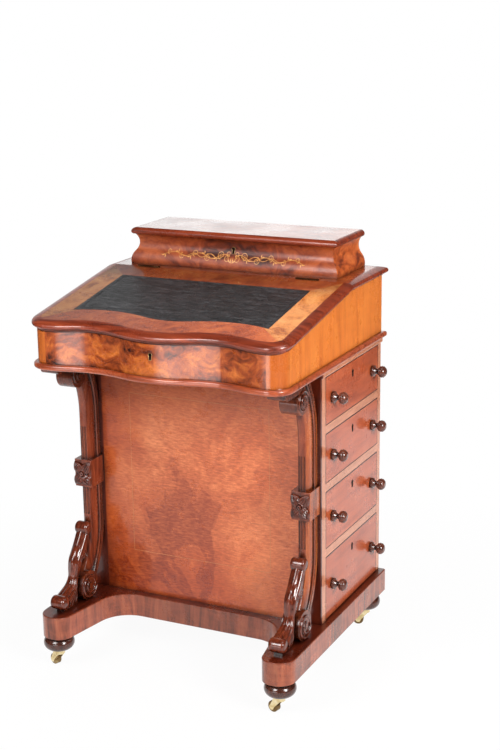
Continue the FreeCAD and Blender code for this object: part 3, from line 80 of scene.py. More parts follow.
KNOB_RING_WIDTH, KNOB_RING_HEIGHT = 0.0015, 0.0006
CURL_STEPS, LEAF_STEPS, STEM_STEPS = 40, 12, 120
LEATHER_HALF, LEATHER_BACK_Y = 0.212, 0.0137
BOX_MARQUETRY_Z = 0.794 + 0.0265
PANEL_LINE_HALF, PANEL_LINE_LOW, PANEL_LINE_HIGH, PANEL_LINE_WIDTH = 0.158, 0.214, 0.558, 0.0007
DESK_KEYHOLE_Z, BOX_KEYHOLE_Z = 0.6976, 0.837
DRAWER_KEYHOLE_Y, DRAWER_KEYHOLES_Z = 0.09575, (0.607, 0.491, 0.371, 0.233)
KEYHOLE_EYE, KEYHOLE_SLOT, KEYHOLE_LENGTH = 0.0024, 0.0013, 0.009
LID_SLOPE = math.radians(9.6)
FLOOR_REACH = 12.0

# Woods as linear colours, from the dark of the grain to the light
GOLDEN = ((0.46, 0.095, 0.012), (0.72, 0.190, 0.028), (0.84, 0.280, 0.048))
CORNER = ((0.34, 0.062, 0.008), (0.54, 0.125, 0.017), (0.64, 0.185, 0.030))
BAND = ((0.36, 0.090, 0.020), (0.70, 0.245, 0.064), (0.82, 0.350, 0.110))
BAND_RED = ((0.26, 0.034, 0.007), (0.50, 0.090, 0.017), (0.63, 0.150, 0.034))
# Painted shade for the front panel's top, foot and sides
PANEL_SHADE = ((0.20, 0.020, 0.003), (0.40, 0.062, 0.010), (0.56, 0.120, 0.022))
PANEL = ((0.25, 0.036, 0.008), (0.49, 0.110, 0.032), (0.70, 0.215, 0.078))
DRAWER = ((0.26, 0.040, 0.012), (0.46, 0.090, 0.030), (0.57, 0.135, 0.048))
RAIL = ((0.42, 0.140, 0.068), (0.56, 0.215, 0.115), (0.64, 0.270, 0.155))
BURR = ((0.035, 0.005, 0.002), (0.36, 0.062, 0.010), (0.66, 0.175, 0.028))
BOX_BURR = ((0.05, 0.006, 0.002), (0.23, 0.036, 0.009), (0.40, 0.085, 0.022))
BOX_END = ((0.16, 0.024, 0.006), (0.48, 0.092, 0.018), (0.66, 0.165, 0.038))
MOULDING = ((0.06, 0.008, 0.003), (0.23, 0.032, 0.010), (0.35, 0.060, 0.020))
BASE = ((0.14, 0.021, 0.007), (0.36, 0.066, 0.021), (0.52, 0.120, 0.042))
PILLAR = ((0.040, 0.006, 0.002), (0.20, 0.034, 0.011), (0.32, 0.068, 0.022))
# Painted light on the pillars' outer cheeks
PILLAR_LIT_SIDE = ((0.10, 0.014, 0.003), (0.34, 0.066, 0.013), (0.54, 0.145, 0.030))
CARVING = ((0.022, 0.004, 0.002), (0.115, 0.019, 0.007), (0.22, 0.044, 0.018))
# Dark mahogany, used with painted shade beside the pillars and on the plinth top
DARK_MAHOGANY_SHADE = ((0.030, 0.004, 0.001), (0.100, 0.012, 0.004), (0.150, 0.024, 0.008))
PLINTH = ((0.10, 0.020, 0.007), (0.28, 0.060, 0.023), (0.40, 0.108, 0.044))
KNOB = ((0.040, 0.010, 0.006), (0.120, 0.032, 0.018), (0.220, 0.072, 0.042))
BUN = ((0.022, 0.006, 0.004), (0.066, 0.018, 0.010), (0.120, 0.038, 0.022))
OAK = ((0.36, 0.22, 0.11), (0.52, 0.35, 0.19), (0.62, 0.45, 0.27))
SATINWOOD = ((0.56, 0.20, 0.050), (0.72, 0.32, 0.090), (0.82, 0.44, 0.150))
STRINGING = ((0.46, 0.15, 0.050), (0.60, 0.23, 0.085), (0.68, 0.30, 0.120))

# Leather and metals, also from dark to light
HIDE = ((0.014, 0.014, 0.015), (0.036, 0.036, 0.038), (0.100, 0.098, 0.105))
CASTOR_BRASS = ((0.50, 0.34, 0.12), (0.84, 0.68, 0.38), (0.94, 0.84, 0.58))
WHEEL_BRASS = ((0.07, 0.040, 0.016), (0.22, 0.135, 0.055), (0.62, 0.46, 0.22))
AGED_BRASS = ((0.020, 0.008, 0.004), (0.045, 0.018, 0.008), (0.11, 0.050, 0.022))
THREAD_BRASS = ((0.30, 0.18, 0.06), (0.56, 0.38, 0.15), (0.80, 0.62, 0.32))
LOCK_STEEL = ((0.16, 0.15, 0.14), (0.36, 0.35, 0.33), (0.60, 0.59, 0.56))
# Near-black rim round the keyholes, painted shade that widens their dark
KEYHOLE_SHADE_RING = ((0.006, 0.005, 0.005), (0.014, 0.012, 0.011), (0.030, 0.026, 0.023))


class Tree:
    """A node tree, with a short call for each kind of node."""

    def __init__(self, tree):
        self.tree = tree

    def give(self, socket, value):
        if isinstance(value, bpy.types.NodeSocket):
            self.tree.links.new(value, socket)
        else:
            socket.default_value = value

    def node(self, kind, inputs=None, **settings):
        made = self.tree.nodes.new(kind)
        for key, value in settings.items():
            setattr(made, key, value)
        for key, value in (inputs or {}).items():
            self.give(made.inputs[key], value)
        return made

    def math(self, operation, first, second=0.0):
        return self.node("ShaderNodeMath", {0: first, 1: second}, operation=operation).outputs[0]

    def vector(self, operation, first, second=(0.0, 0.0, 0.0)):
        return self.node("ShaderNodeVectorMath", {0: first, 1: second}, operation=operation).outputs[0]

    def dot(self, first, second):
        made = self.node("ShaderNodeVectorMath", {0: first, 1: second}, operation="DOT_PRODUCT")
        return made.outputs["Value"]

    def axes(self, place):
        return self.node("ShaderNodeSeparateXYZ", {0: place}).outputs

    def span(self, value, low, high, start=0.0, end=1.0):
        inputs = {"Value": value, "From Min": low, "From Max": high, "To Min": start, "To Max": end}
        return self.node("ShaderNodeMapRange", inputs, clamp=True).outputs[0]

    def seen(self):
        """The rays of the camera, and those of the camera, mirrors and glass together."""
        paths = self.node("ShaderNodeLightPath").outputs
        clear = self.math("MAXIMUM", paths["Is Glossy Ray"], paths["Is Transmission Ray"])
        return paths["Is Camera Ray"], clear


class Paint(Tree):
    """A material, whose edges look eased by a hair so that they catch the light."""

    def __init__(self, name, easing=0.0009):
        self.material = bpy.data.materials.new(name)
        self.material.use_nodes = True
        super().__init__(self.material.node_tree)
        self.shader = self.tree.nodes["Principled BSDF"]
        self.place = self.node("ShaderNodeTexCoord").outputs["Object"]
        self.eased = self.node("ShaderNodeBevel", {"Radius": easing}, samples=6).outputs[0]

    def noise(self, place, scale=1.0, detail=4.0, rough=0.55, swirl=0.0, colour=False):
        made = self.node(
            "ShaderNodeTexNoise",
            {"Vector": place, "Scale": scale, "Detail": detail, "Roughness": rough, "Distortion": swirl},
        )
        return made.outputs["Color" if colour else "Fac"]

    def cells(self, place, scale, feature="F1"):
        made = self.node("ShaderNodeTexVoronoi", {"Vector": place, "Scale": scale}, feature=feature)
        return made.outputs["Distance"]

    def ramp(self, factor, stops):
        made = self.node("ShaderNodeValToRGB", {"Fac": factor})
        elements = made.color_ramp.elements
        while len(elements) < len(stops):
            elements.new(0.5)
        for element, (position, colour) in zip(elements, stops):
            element.position = position
            element.color = (*colour, 1.0)
        return made.outputs["Color"]

    def blend(self, factor, first, second, kind="MIX"):
        made = self.node("ShaderNodeMix", data_type="RGBA", blend_type=kind)
        for socket, value in zip((made.inputs[0], made.inputs[6], made.inputs[7]), (factor, first, second)):
            self.give(socket, (*value, 1.0) if isinstance(value, tuple) else value)
        return made.outputs[2]

    def shade(self, colour, factor, low, high):
        """The colour times a grey between low and high as the factor goes from 0 to 1."""
        grey = self.span(factor, 0.0, 1.0, low, high)
        grey = self.node("ShaderNodeCombineColor", {0: grey, 1: grey, 2: grey}).outputs[0]
        return self.blend(1.0, colour, grey, "MULTIPLY")

    def bump(self, height, strength, distance):
        inputs = {"Height": height, "Strength": strength, "Distance": distance, "Normal": self.eased}
        return self.node("ShaderNodeBump", inputs).outputs[0]

    def drift(self, scale, amount):
        """The place, moved about by a slow noise."""
        move = self.vector("SUBTRACT", self.noise(self.place, scale, 3.0, colour=True), (0.5, 0.5, 0.5))
        return self.vector("ADD", self.place, self.vector("MULTIPLY", move, (amount,) * 3))

    def facing(self, direction, low=0.9988, high=0.9996):
        """1 where the piece's own surface faces the direction."""
        normal = self.node("ShaderNodeTexCoord").outputs["Normal"]
        return self.span(self.dot(normal, direction), low, high)

    def sideways(self, low, high):
        """1 where the piece's own surface faces left or right."""
        normal = self.node("ShaderNodeTexCoord").outputs["Normal"]
        return self.span(self.math("ABSOLUTE", self.axes(normal)[0]), low, high)

    def finish(self, colour, rough, normal, **plain):
        self.give(self.shader.inputs["Base Color"], colour)
        self.give(self.shader.inputs["Roughness"], rough)
        self.give(self.shader.inputs["Normal"], normal)
        for key, value in plain.items():
            self.shader.inputs[key.replace("_", " ")].default_value = value
        return self.material


def tone_stops(tones, reach):
    """The stops of a ramp that runs through three tones round its middle."""
    return ((0.5 - reach, tones[0]), (0.5, tones[1]), (0.5 + reach, tones[2]))


def worn_edges(paint, colour, lighter):
    """The polish rubbed thin along the edges, where the eased normal leaves the flat one."""
    flat = paint.node("ShaderNodeNewGeometry").outputs["Normal"]
    rub = paint.noise(paint.place, 60.0, 3.0)
    edge = paint.span(paint.dot(paint.eased, flat), 0.995, 0.86)
    edge = paint.math("MULTIPLY", edge, paint.span(rub, 0.38, 0.62))
    return paint.blend(paint.math("MULTIPLY", edge, 0.45), colour, lighter)


def crevice_dust_and_shade(paint, colour, carved):
    """Painted shade, with old wax and dust: ambient occlusion darkens the corners, most of all in carving.
    """
    bare = paint.node("ShaderNodeAmbientOcclusion", {"Distance": 0.016}, samples=6).outputs["AO"]
    low, high, darkest = (0.35, 0.95, 0.05) if carved else (0.25, 0.85, 0.16)
    return paint.shade(colour, paint.span(bare, low, high), darkest, 1.0)


def polish(paint, colour, fine, pores, dullness=1.0, coat=0.5, carved=False):
    """A French polish: smooth and deep, with faint brush swirls, dust marks and open pores."""
    # Painted shade, with wax and dust, in corners and hollows
    colour = crevice_dust_and_shade(paint, colour, carved)
    smear = paint.noise(paint.place, 14.0, 3.0)
    specks = paint.noise(paint.place, 420.0, 2.0)
    rough = paint.span(smear, 0.3, 0.7, 0.22 * dullness, 0.36 * dullness)
    rough = paint.math("ADD", rough, paint.span(specks, 0.5, 0.8, 0.0, 0.08))
    wave = paint.noise(paint.place, 22.0, 2.0)
    grain = paint.math("SUBTRACT", fine, paint.math("MULTIPLY", pores, 0.8))
    height = paint.math("ADD", grain, paint.math("MULTIPLY", wave, 6.0))
    return paint.finish(colour, rough, paint.bump(height, 0.25, 0.00012), Coat_Weight=coat,
                        Coat_Roughness=0.06, IOR=1.48)


def grain_space(paint, along, streak, length, bend=0.012):
    """Places measured in streaks across the grain, and drawn out along it, with a slow bend."""
    scale = [1.0 / streak] * 3
    scale[along] = 1.0 / length
    return paint.vector("MULTIPLY", paint.drift(5.0, bend * 2), tuple(scale))


def wood_layers(paint, tones, along, streak, ripple=0.0, reach=0.24):
    """Colour, fine grain and pores of a straight wood whose grain runs along one axis."""
    broad = paint.noise(grain_space(paint, along, streak, streak * 11), 1.0, 6.0, 0.62, 0.5)
    fine = paint.noise(grain_space(paint, along, 0.0011, 0.05), 1.0, 3.0)
    pores = paint.span(paint.noise(grain_space(paint, along, 0.0005, 0.007), 1.0, 1.0), 0.62, 0.72)
    if ripple:
        bars = paint.noise(grain_space(paint, along, streak * 5, streak * 0.9, 0.03), 1.0, 3.0, 0.5, 0.8)
        broad = paint.math("ADD", broad, paint.math("MULTIPLY", paint.math("SUBTRACT", bars, 0.5), ripple))
    colour = paint.ramp(broad, tone_stops(tones, reach))
    colour = paint.shade(colour, paint.noise(paint.place, 4.0, 2.0), 0.84, 1.14)
    colour = paint.shade(colour, fine, 0.86, 1.12)
    colour = paint.blend(paint.math("MULTIPLY", pores, 0.45), colour, tuple(c * 0.35 for c in tones[0]))
    return colour, fine, pores


def wood(name, tones, along, streak=0.016, ripple=0.0, reach=0.24, dullness=1.0, carved=False):
    paint = Paint(name)
    colour, fine, pores = wood_layers(paint, tones, along, streak, ripple, reach)
    return polish(paint, worn_edges(paint, colour, tones[2]), fine, pores, dullness, carved=carved)


def pillar_wood(name, tones, lit_side_tones):
    """Straight mahogany, with painted light: a lighter orange on its outer cheeks between the scrolls."""
    paint = Paint(name)
    colour, fine, pores = wood_layers(paint, tones, 2, 0.011)
    x, _, z = paint.axes(paint.place)
    outer = paint.span(paint.math("ABSOLUTE", x), 0.2480, 0.2500)
    outer = paint.math("MULTIPLY", paint.sideways(0.70, 0.90), outer)
    between = paint.math("MULTIPLY", paint.span(z, 0.165, 0.215), paint.span(z, 0.600, 0.560))
    # Painted light: the outer cheeks take the lighter tone, as if lit from the side
    lit_cheek = paint.math("MULTIPLY", outer, between)
    colour = paint.blend(lit_cheek, colour, wood_layers(paint, lit_side_tones, 2, 0.014)[0])
    # Darker on the scrolls above and below the cheeks
    colour = paint.shade(colour, between, 0.55, 1.0)
    return polish(paint, worn_edges(paint, colour, lit_side_tones[2]), fine, pores, 0.8, 0.25, True)


def bands(paint, figure, count):
    """Uneven lines that follow a figure's own contours."""
    level = paint.math("MULTIPLY", figure, count)
    return paint.noise(paint.node("ShaderNodeCombineXYZ", {0: level}).outputs[0])


def mottled(name, tones):
    """Satiny veneer: clouds of light and dark, a fine level ripple and a few shrinkage cracks."""
    paint = Paint(name)
    place = paint.drift(6.0, 0.050)
    cloud = paint.noise(paint.vector("MULTIPLY", place, (5.5, 5.5, 4.0)), 1.0, 6.0, 0.58, 0.6)
    ripple = paint.vector("MULTIPLY", paint.drift(14.0, 0.012), (75.0, 75.0, 300.0))
    ripple = paint.noise(ripple, 1.0, 3.0, 0.6, 0.3)
    bars = bands(paint, cloud, 26.0)
    mix = paint.math("ADD", paint.math("MULTIPLY", cloud, 0.56), paint.math("MULTIPLY", ripple, 0.26))
    mix = paint.math("ADD", mix, paint.math("MULTIPLY", bars, 0.18))
    colour = paint.ramp(mix, tone_stops(tones, 0.105))
    fine = paint.noise(grain_space(paint, 2, 0.0009, 0.012), 1.0, 3.0)
    pores = paint.span(paint.noise(grain_space(paint, 2, 0.0005, 0.004), 1.0, 1.0), 0.62, 0.72)
    colour = paint.shade(colour, fine, 0.84, 1.14)
    colour = paint.blend(paint.math("MULTIPLY", pores, 0.35), colour, tones[0])
    wander = paint.axes(paint.vector("MULTIPLY", paint.drift(11.0, 0.045), (2.2, 2.2, 8.0)))
    line = paint.math("ABSOLUTE", paint.math("SUBTRACT", paint.math("FRACT", wander[2]), 0.5))
    broken = paint.span(paint.noise(paint.place, 7.0, 2.0), 0.54, 0.58)
    crack = paint.math("MULTIPLY", paint.span(line, 0.0042, 0.0015), broken)
    colour = paint.blend(paint.math("MULTIPLY", crack, 0.6), colour, tuple(c * 0.3 for c in tones[0]))
    patchy = paint.span(paint.noise(paint.place, 5.0, 2.0), 0.40, 0.60, 0.25, 1.0)
    swing = paint.math("MULTIPLY", paint.math("SUBTRACT", ripple, 0.5), patchy)
    colour = paint.shade(colour, paint.math("ADD", swing, 0.5), 0.80, 1.20)
    x, y, z = paint.axes(paint.place)
    # Painted shade: a darker tone at the panel's top under the desk, at its foot and at its sides, less on
    # the right
    wave = paint.span(paint.noise(paint.place, 6.0, 3.0), 0.3, 0.7, -0.05, 0.05)
    foot = paint.span(paint.math("ADD", z, wave), 0.26, 0.14)
    level = paint.math("MAXIMUM", paint.span(z, 0.47, 0.61), foot)
    sides = paint.span(paint.math("ADD", paint.math("ABSOLUTE", x), wave), 0.11, 0.20)
    sides = paint.math("MULTIPLY", sides, paint.span(x, -0.05, 0.10, 1.0, 0.25))
    rim = paint.math("MAXIMUM", sides, level)
    edge = paint.ramp(mix, tone_stops(PANEL_SHADE, 0.105))
    colour = paint.blend(paint.math("MULTIPLY", rim, 0.95), colour, edge)
    # Painted light: lighter towards the right
    colour = paint.shade(colour, paint.span(x, -0.20, 0.20), 0.88, 1.18)
    # A dark-stained post beside each pillar, darkened further as painted shade behind the pillar
    post_and_shade = paint.span(paint.math("ABSOLUTE", x), 0.2240, 0.2250)
    post_and_shade = paint.math("MULTIPLY", post_and_shade, paint.span(y, -0.050, -0.055))
    colour = paint.blend(post_and_shade, colour, wood_layers(paint, DARK_MAHOGANY_SHADE, 2, 0.010)[0])
    stile = paint.math("MULTIPLY", paint.sideways(0.5, 0.7), paint.span(y, -0.0640, -0.0630))
    colour = paint.blend(stile, colour, wood_layers(paint, RAIL, 2, 0.010)[0])
    return polish(paint, worn_edges(paint, colour, tones[2]), fine, pores)


def burr_layers(paint, tones, size=1.0, matched=True):
    """Flaming figure, laid alike on both sides of the middle, with contour lines, clouds and small eyes."""
    place = paint.drift(8.0 / size, 0.10 * size)
    if matched:
        place = paint.vector("ABSOLUTE", paint.vector("MULTIPLY", place, (1.0, -1.0, 1.0)))
    flame = paint.vector("MULTIPLY", place, (9.0 / size, 9.0 / size, 17.0 / size))
    flame = paint.noise(flame, 1.0, 5.0, 0.58, 1.2)
    curl = paint.noise(place, 42.0 / size, 5.0, 0.6, 1.6)
    mix = paint.math("ADD", paint.math("MULTIPLY", flame, 0.66), paint.math("MULTIPLY", curl, 0.34))
    colour = paint.ramp(mix, tone_stops(tones, 0.12))
    colour = paint.shade(colour, bands(paint, flame, 34.0), 0.62, 1.30)
    eyes = paint.span(paint.cells(place, 95.0 / size), 0.20, 0.05)
    gate = paint.span(paint.noise(paint.place, 17.0, 2.0), 0.50, 0.62)
    colour = paint.blend(paint.math("MULTIPLY", paint.math("MULTIPLY", eyes, gate), 0.6), colour, tones[0])
    fine = paint.noise(place, 700.0, 3.0, 0.6, 1.5)
    colour = paint.shade(colour, fine, 0.80, 1.18)
    pores = paint.span(paint.noise(place, 1500.0, 1.0), 0.64, 0.74)
    return colour, fine, pores


def burr(name, tones, corner=None, corner_tones=None, end_tones=None, dullness=1.0, coat=0.5):
    """Burr veneer; where they are given, upright veneer past the corner, or lighter ends."""
    paint = Paint(name)
    colour, fine, pores = burr_layers(paint, tones)
    if end_tones:
        colour = paint.blend(paint.sideways(0.55, 0.65), colour, burr_layers(paint, end_tones, 0.7)[0])
    if corner:
        past = paint.span(paint.math("ABSOLUTE", paint.axes(paint.place)[0]), corner, corner + 0.0008)
        colour = paint.blend(past, colour, wood_layers(paint, corner_tones, 2, 0.018, 0.2, 0.36)[0])
    return polish(paint, worn_edges(paint, colour, tones[2]), fine, pores, dullness, coat)


def crossbanded(name, flat, band, ends, edge):
    """A board with veneer laid across its margins, mitred at the corners, in a solid moulding."""
    paint = Paint(name)
    x, y, _ = paint.axes(paint.place)
    past_side = paint.math("SUBTRACT", paint.math("ABSOLUTE", x), LEATHER_HALF)
    past_front = paint.math("SUBTRACT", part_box("writing_leather")[0][1], y)
    past_end = paint.math("MAXIMUM", past_front, paint.math("SUBTRACT", y, LEATHER_BACK_Y))
    side = paint.span(paint.math("SUBTRACT", past_side, past_end), -0.0004, 0.0004)
    side_colour, fine, pores = burr_layers(paint, band, 0.5, False)
    colour = paint.blend(side, burr_layers(paint, ends, 0.6, False)[0], side_colour)
    # Painted reflection: darker from the front margin towards the back
    colour = paint.shade(colour, paint.span(y, -0.02, 0.03), 1.0, 0.45)
    # Painted light: darker to the left, lighter to the right
    colour = paint.shade(colour, paint.span(x, -0.25, 0.22), 0.52, 1.30)
    colour = paint.blend(paint.facing(flat), wood_layers(paint, edge, 0, 0.010)[0], colour)
    return polish(paint, worn_edges(paint, colour, edge[2]), fine, pores)


def plinth_veneer(name, tones):
    """Upright slips of veneer laid side by side round the edges, and long grain on top."""
    paint = Paint(name)
    x, y, _ = paint.axes(paint.place)
    number = paint.math("FLOOR", paint.math("DIVIDE", paint.math("ADD", x, y), 0.058))
    slip = paint.node("ShaderNodeTexWhiteNoise", {"W": number}, noise_dimensions="1D").outputs["Value"]
    upright, fine, pores = wood_layers(paint, tones, 2, 0.012, 0.3, 0.20)
    upright = paint.shade(upright, slip, 0.72, 1.20)
    # Painted shade: the top is laid in dark mahogany, darker than the edges
    top = paint.facing((0.0, 0.0, 1.0), 0.6, 0.8)
    colour = paint.blend(top, upright, wood_layers(paint, DARK_MAHOGANY_SHADE, 1, 0.012)[0])
    return polish(paint, worn_edges(paint, colour, tones[2]), fine, pores)


def drawer_veneer(name, tones):
    """Drawer veneer, darkened by handling along its eased edges, with painted shadow as dark lines round
    its face where the gaps round the drawer fall.
    """
    paint = Paint(name)
    colour, fine, pores = wood_layers(paint, tones, 1, 0.013, 0.2, 0.34)
    share = paint.axes(paint.node("ShaderNodeTexCoord").outputs["Generated"])
    face = paint.sideways(0.5, 0.7)
    # Painted shadow of the gaps round the drawer
    for axis, limit, edge in ((1, 0.0, 0.0075), (1, 1.0, 0.0060), (2, 0.0, 0.012), (2, 1.0, 0.022)):
        reach = paint.math("ABSOLUTE", paint.math("SUBTRACT", share[axis], limit))
        gap_shadow = paint.math("MULTIPLY", paint.span(reach, edge, edge * 0.5), face)
        colour = paint.shade(colour, gap_shadow, 1.0, 0.08)
    return polish(paint, worn_edges(paint, colour, tones[0]), fine, pores)


def leather(name):
    """Old black hide: small pebbled cells, long creases that run across the desk, and a rubbed sheen."""
    paint = Paint(name)
    place = paint.drift(26.0, 0.012)
    pebble = paint.span(paint.cells(place, 420.0, "DISTANCE_TO_EDGE"), 0.0, 0.25)
    drawn = paint.vector("MULTIPLY", place, (42.0, 170.0, 170.0))
    crease = paint.span(paint.cells(drawn, 1.0, "DISTANCE_TO_EDGE"), 0.0, 0.12)
    streak = paint.noise(paint.vector("MULTIPLY", place, (26.0, 150.0, 150.0)), 1.0, 4.0, 0.6, 0.5)
    rub = paint.noise(paint.place, 7.0, 4.0, 0.6, 0.5)
    colour = paint.ramp(streak, tuple(zip((0.34, 0.52, 0.72), HIDE)))
    colour = paint.shade(colour, rub, 0.70, 1.25)
    colour = paint.shade(colour, pebble, 0.70, 1.10)
    colour = paint.shade(colour, crease, 0.50, 1.0)
    rough = paint.math("ADD", paint.span(rub, 0.3, 0.7, 0.50, 0.38), paint.math("MULTIPLY", pebble, 0.06))
    height = paint.math("ADD", crease, paint.math("MULTIPLY", streak, 3.0))
    height = paint.math("ADD", paint.math("MULTIPLY", pebble, 0.4), height)
    return paint.finish(colour, rough, paint.bump(height, 1.0, 0.0008), IOR=1.5)


def metal(name, tones, rough, wear):
    """Turned metal with fine scratches, handling marks and a darker tarnish in patches."""
    paint = Paint(name, 0.0004)
    patch = paint.noise(paint.place, 55.0, 4.0, 0.6, 0.6)
    scratch = paint.noise(paint.vector("MULTIPLY", paint.place, (4000.0, 300.0, 300.0)), 1.0, 2.0)
    colour = paint.ramp(patch, tone_stops(tones, 0.25))
    colour = paint.shade(colour, scratch, 0.88, 1.08)
    colour = worn_edges(paint, colour, tones[2])
    roughness = paint.math("ADD", paint.span(patch, 0.3, 0.7, rough + wear, rough),
                           paint.math("MULTIPLY", scratch, 0.08))
    return paint.finish(colour, roughness, paint.bump(scratch, 0.12, 0.00005), Metallic=1.0)


class Skin:
    """The surface of one CAD node, for laying carving and inlay on it."""

    def __init__(self, node):
        mesh = nodes[node].data
        places = [v.co for v in mesh.vertices]
        self.tree = BVHTree.FromPolygons(places, [p.vertices[:] for p in mesh.polygons])

    def cast(self, start, way):
        return self.tree.ray_cast(Vector(start), Vector(way))[:2]


class Form:
    """The points and faces of one piece, gathered part by part."""

    def __init__(self):
        self.places, self.faces = [], []

    def grid(self, rows, closed=False):
        """A skin over rows of points of equal length."""
        start, width = len(self.places), len(rows[0])
        for row in rows:
            self.places.extend(row)
        for i in range(len(rows) - 1):
            for j in range(width if closed else width - 1):
                a = start + i * width + j
                b = start + i * width + (j + 1) % width
                self.faces.append((a, b, b + width, a + width))

    def bead(self, path, widths, heights, sides=6):
        """A raised rounded line; the path gives a place and the way up at each step."""
        rows = []
        for i, (place, up) in enumerate(path):
            along = path[min(i + 1, len(path) - 1)][0] - path[max(i - 1, 0)][0]
            across = along.cross(up).normalized()
            turns = [math.pi * k / sides for k in range(sides + 1)]
            rows.append([place - up * 0.0004 + across * (widths[i] / 2 * math.cos(t)) +
                         up * ((heights[i] + 0.0004) * math.sin(t)) for t in turns])
        self.grid(rows)

    def make(self, name, material, body="carcase", slot="dark_mahogany"):
        mesh = bpy.data.meshes.new(name)
        mesh.from_pydata(self.places, [], self.faces)
        shaped = bmesh.new()
        shaped.from_mesh(mesh)
        bmesh.ops.recalc_face_normals(shaped, faces=shaped.faces)
        shaped.to_mesh(mesh)
        shaped.free()
        mesh.shade_smooth()
        mesh.materials.append(material)
        piece = bpy.data.objects.new(name, mesh)
        bpy.context.scene.collection.objects.link(piece)
        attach(piece, body)
        return piece


def tapered(count, full, ends):
    """Sizes along a line that swell from the ends to the middle."""
    return [ends + (full - ends) * math.sin(math.pi * i / (count - 1)) ** 0.6 for i in range(count)]


def spiral(form, skin, x, volute, cheek, way, start, turns, width):
    """A raised line that winds from the rim of a scroll's cheek in to its eye."""
    y, z, radius = volute
    steps = 80
    path = []
    for i in range(steps + 1):
        t = i / steps
        reach, angle = radius * (0.90 - 0.62 * t), start + way * math.tau * turns * t
        place = (x + cheek * CAST_REACH, y + reach * math.cos(angle), z + reach * math.sin(angle))
        hit = skin.cast(place, (-cheek, 0.0, 0.0))[0]
        if hit is not None:
            path.append((hit, Vector((cheek, 0.0, 0.0))))
    widths = [width * (1.0 - 0.45 * i / len(path)) for i in range(len(path))]
    form.bead(path, widths, [w * 0.55 for w in widths])


def barrel(form, x, roll, reach, half):
    """A scroll's rolled end, swelling in the middle and rounded over at both ends."""
    y, z = roll
    rows = []
    for i in range(29):
        across = 0.9995 * math.sin(math.pi / 2 * (i / 14 - 1))
        round_off = reach * math.sqrt(1.0 - abs(across) ** 8)
        turns = [math.tau * k / 36 for k in range(36)]
        rows.append([Vector((x + half * across, y + round_off * math.cos(t), z + round_off * math.sin(t)))
                     for t in turns])
    form.grid(rows, closed=True)


def carve_scrolls(material):
    """Spirals on the cheeks of the pillars' scrolls, and the rolled and ribbed leaves of the feet."""
    for hand, x in (("left", -PILLAR_X), ("right", PILLAR_X)):
        form, skin = Form(), Skin(f"pillar_{hand}")
        for cheek in (-1, 1):
            spiral(form, skin, x, TOP_VOLUTE, cheek, 1, 0.3, 1.75, 0.0056)
            spiral(form, skin, x, LOW_VOLUTE, cheek, -1, -0.3, 1.75, 0.0066)
        form.make(f"pillar_spirals_{hand}", material)
        form, skin = Form(), Skin(f"scroll_foot_{hand}")
        for cheek in (-1, 1):
            spiral(form, skin, x, FOOT_CURL, cheek, 1, 0.6, 1.4, 0.0032)
        barrel(form, x, FOOT_TOP_ROLL, 0.0135, 0.0165)
        barrel(form, x, FOOT_TOE_ROLL, 0.0144, 0.0182)
        carve_foot(form, skin, x)
        form.make(f"foot_carving_{hand}", material)


def station(s):
    """The foot's section at a place between the stations, on a smooth curve through them."""
    last = len(FOOT_STATIONS) - 1
    i = min(int(s), last - 1)
    t = s - i
    rows = [FOOT_STATIONS[min(max(k, 0), last)] for k in (i - 1, i, i + 1, i + 2)]
    section = []
    for a, b, c, d in zip(*rows):
        square, cube = 2 * a - 5 * b + 4 * c - d, 3 * b - a - 3 * c + d
        section.append(0.5 * (2 * b + (c - a) * t + square * t ** 2 + cube * t ** 3))
    return section


def carve_foot(form, skin, x):
    """A gadrooned leaf round the foot, from its top roll over the knee and waist to a fan at the toe."""
    rows = []
    for i in range(FOOT_ROWS + 1):
        s = 0.05 + 5.95 * i / FOOT_ROWS
        forward, rise, lean, width, depth = station(s)
        lean = math.radians(lean)
        fan = min(max((s - 3.9) / 1.3, 0.0), 1.0)
        half, thick = width * (0.52 + 0.14 * fan), depth * 0.53
        row = []
        for k in range(FOOT_TURNS):
            turn = math.tau * k / FOOT_TURNS
            knee = math.cos(6 * (turn - math.pi / 2))
            toe = abs(math.cos(5 * (turn - math.pi / 2)))
            rib = 1.0 + 0.055 * (1.0 - fan) * knee + 0.22 * fan * (toe ** 0.7 - 0.6)
            out = thick * rib * math.sin(turn)
            row.append(Vector((x + half * rib * math.cos(turn), PANEL_Y - forward - out * math.sin(lean),
                               PLINTH_TOP + rise + out * math.cos(lean))))
        rows.append(row)
    form.grid(rows, closed=True)
    for cheek in (-1, 1):
        for reach in (0.0135, 0.0175, 0.0215):
            arc = [(FOOT_CURL[0] + reach * math.cos(t), FOOT_CURL[1] + reach * math.sin(t))
                   for t in (math.radians(165 + 5 * k) for k in range(22))]
            cheek_line(form, skin, x, cheek, arc, 0.0040)
        for top, foot in ((0.106, 0.140), (0.104, 0.127), (0.102, 0.114)):
            line = [(PANEL_Y - top + (top - foot) * k / 20,
                     PLINTH_TOP + CHEEK_RIB_TOP + (CHEEK_RIB_FOOT - CHEEK_RIB_TOP) * k / 20)
                    for k in range(21)]
            cheek_line(form, skin, x, cheek, line, 0.0062)


def cheek_line(form, skin, x, cheek, line, full):
    """A raised rib on one cheek of a foot, along places given as y and z, as far as the cheek goes."""
    path = []
    for y, z in line:
        hit, normal = skin.cast((x + cheek * CAST_REACH, y, z), (-cheek, 0.0, 0.0))
        if hit is not None and normal.x * cheek > 0.3:
            path.append((hit, normal))
    if len(path) > 6:
        form.bead(path, tapered(len(path), full, 0.0012), tapered(len(path), full * 0.4, 0.0002), 8)


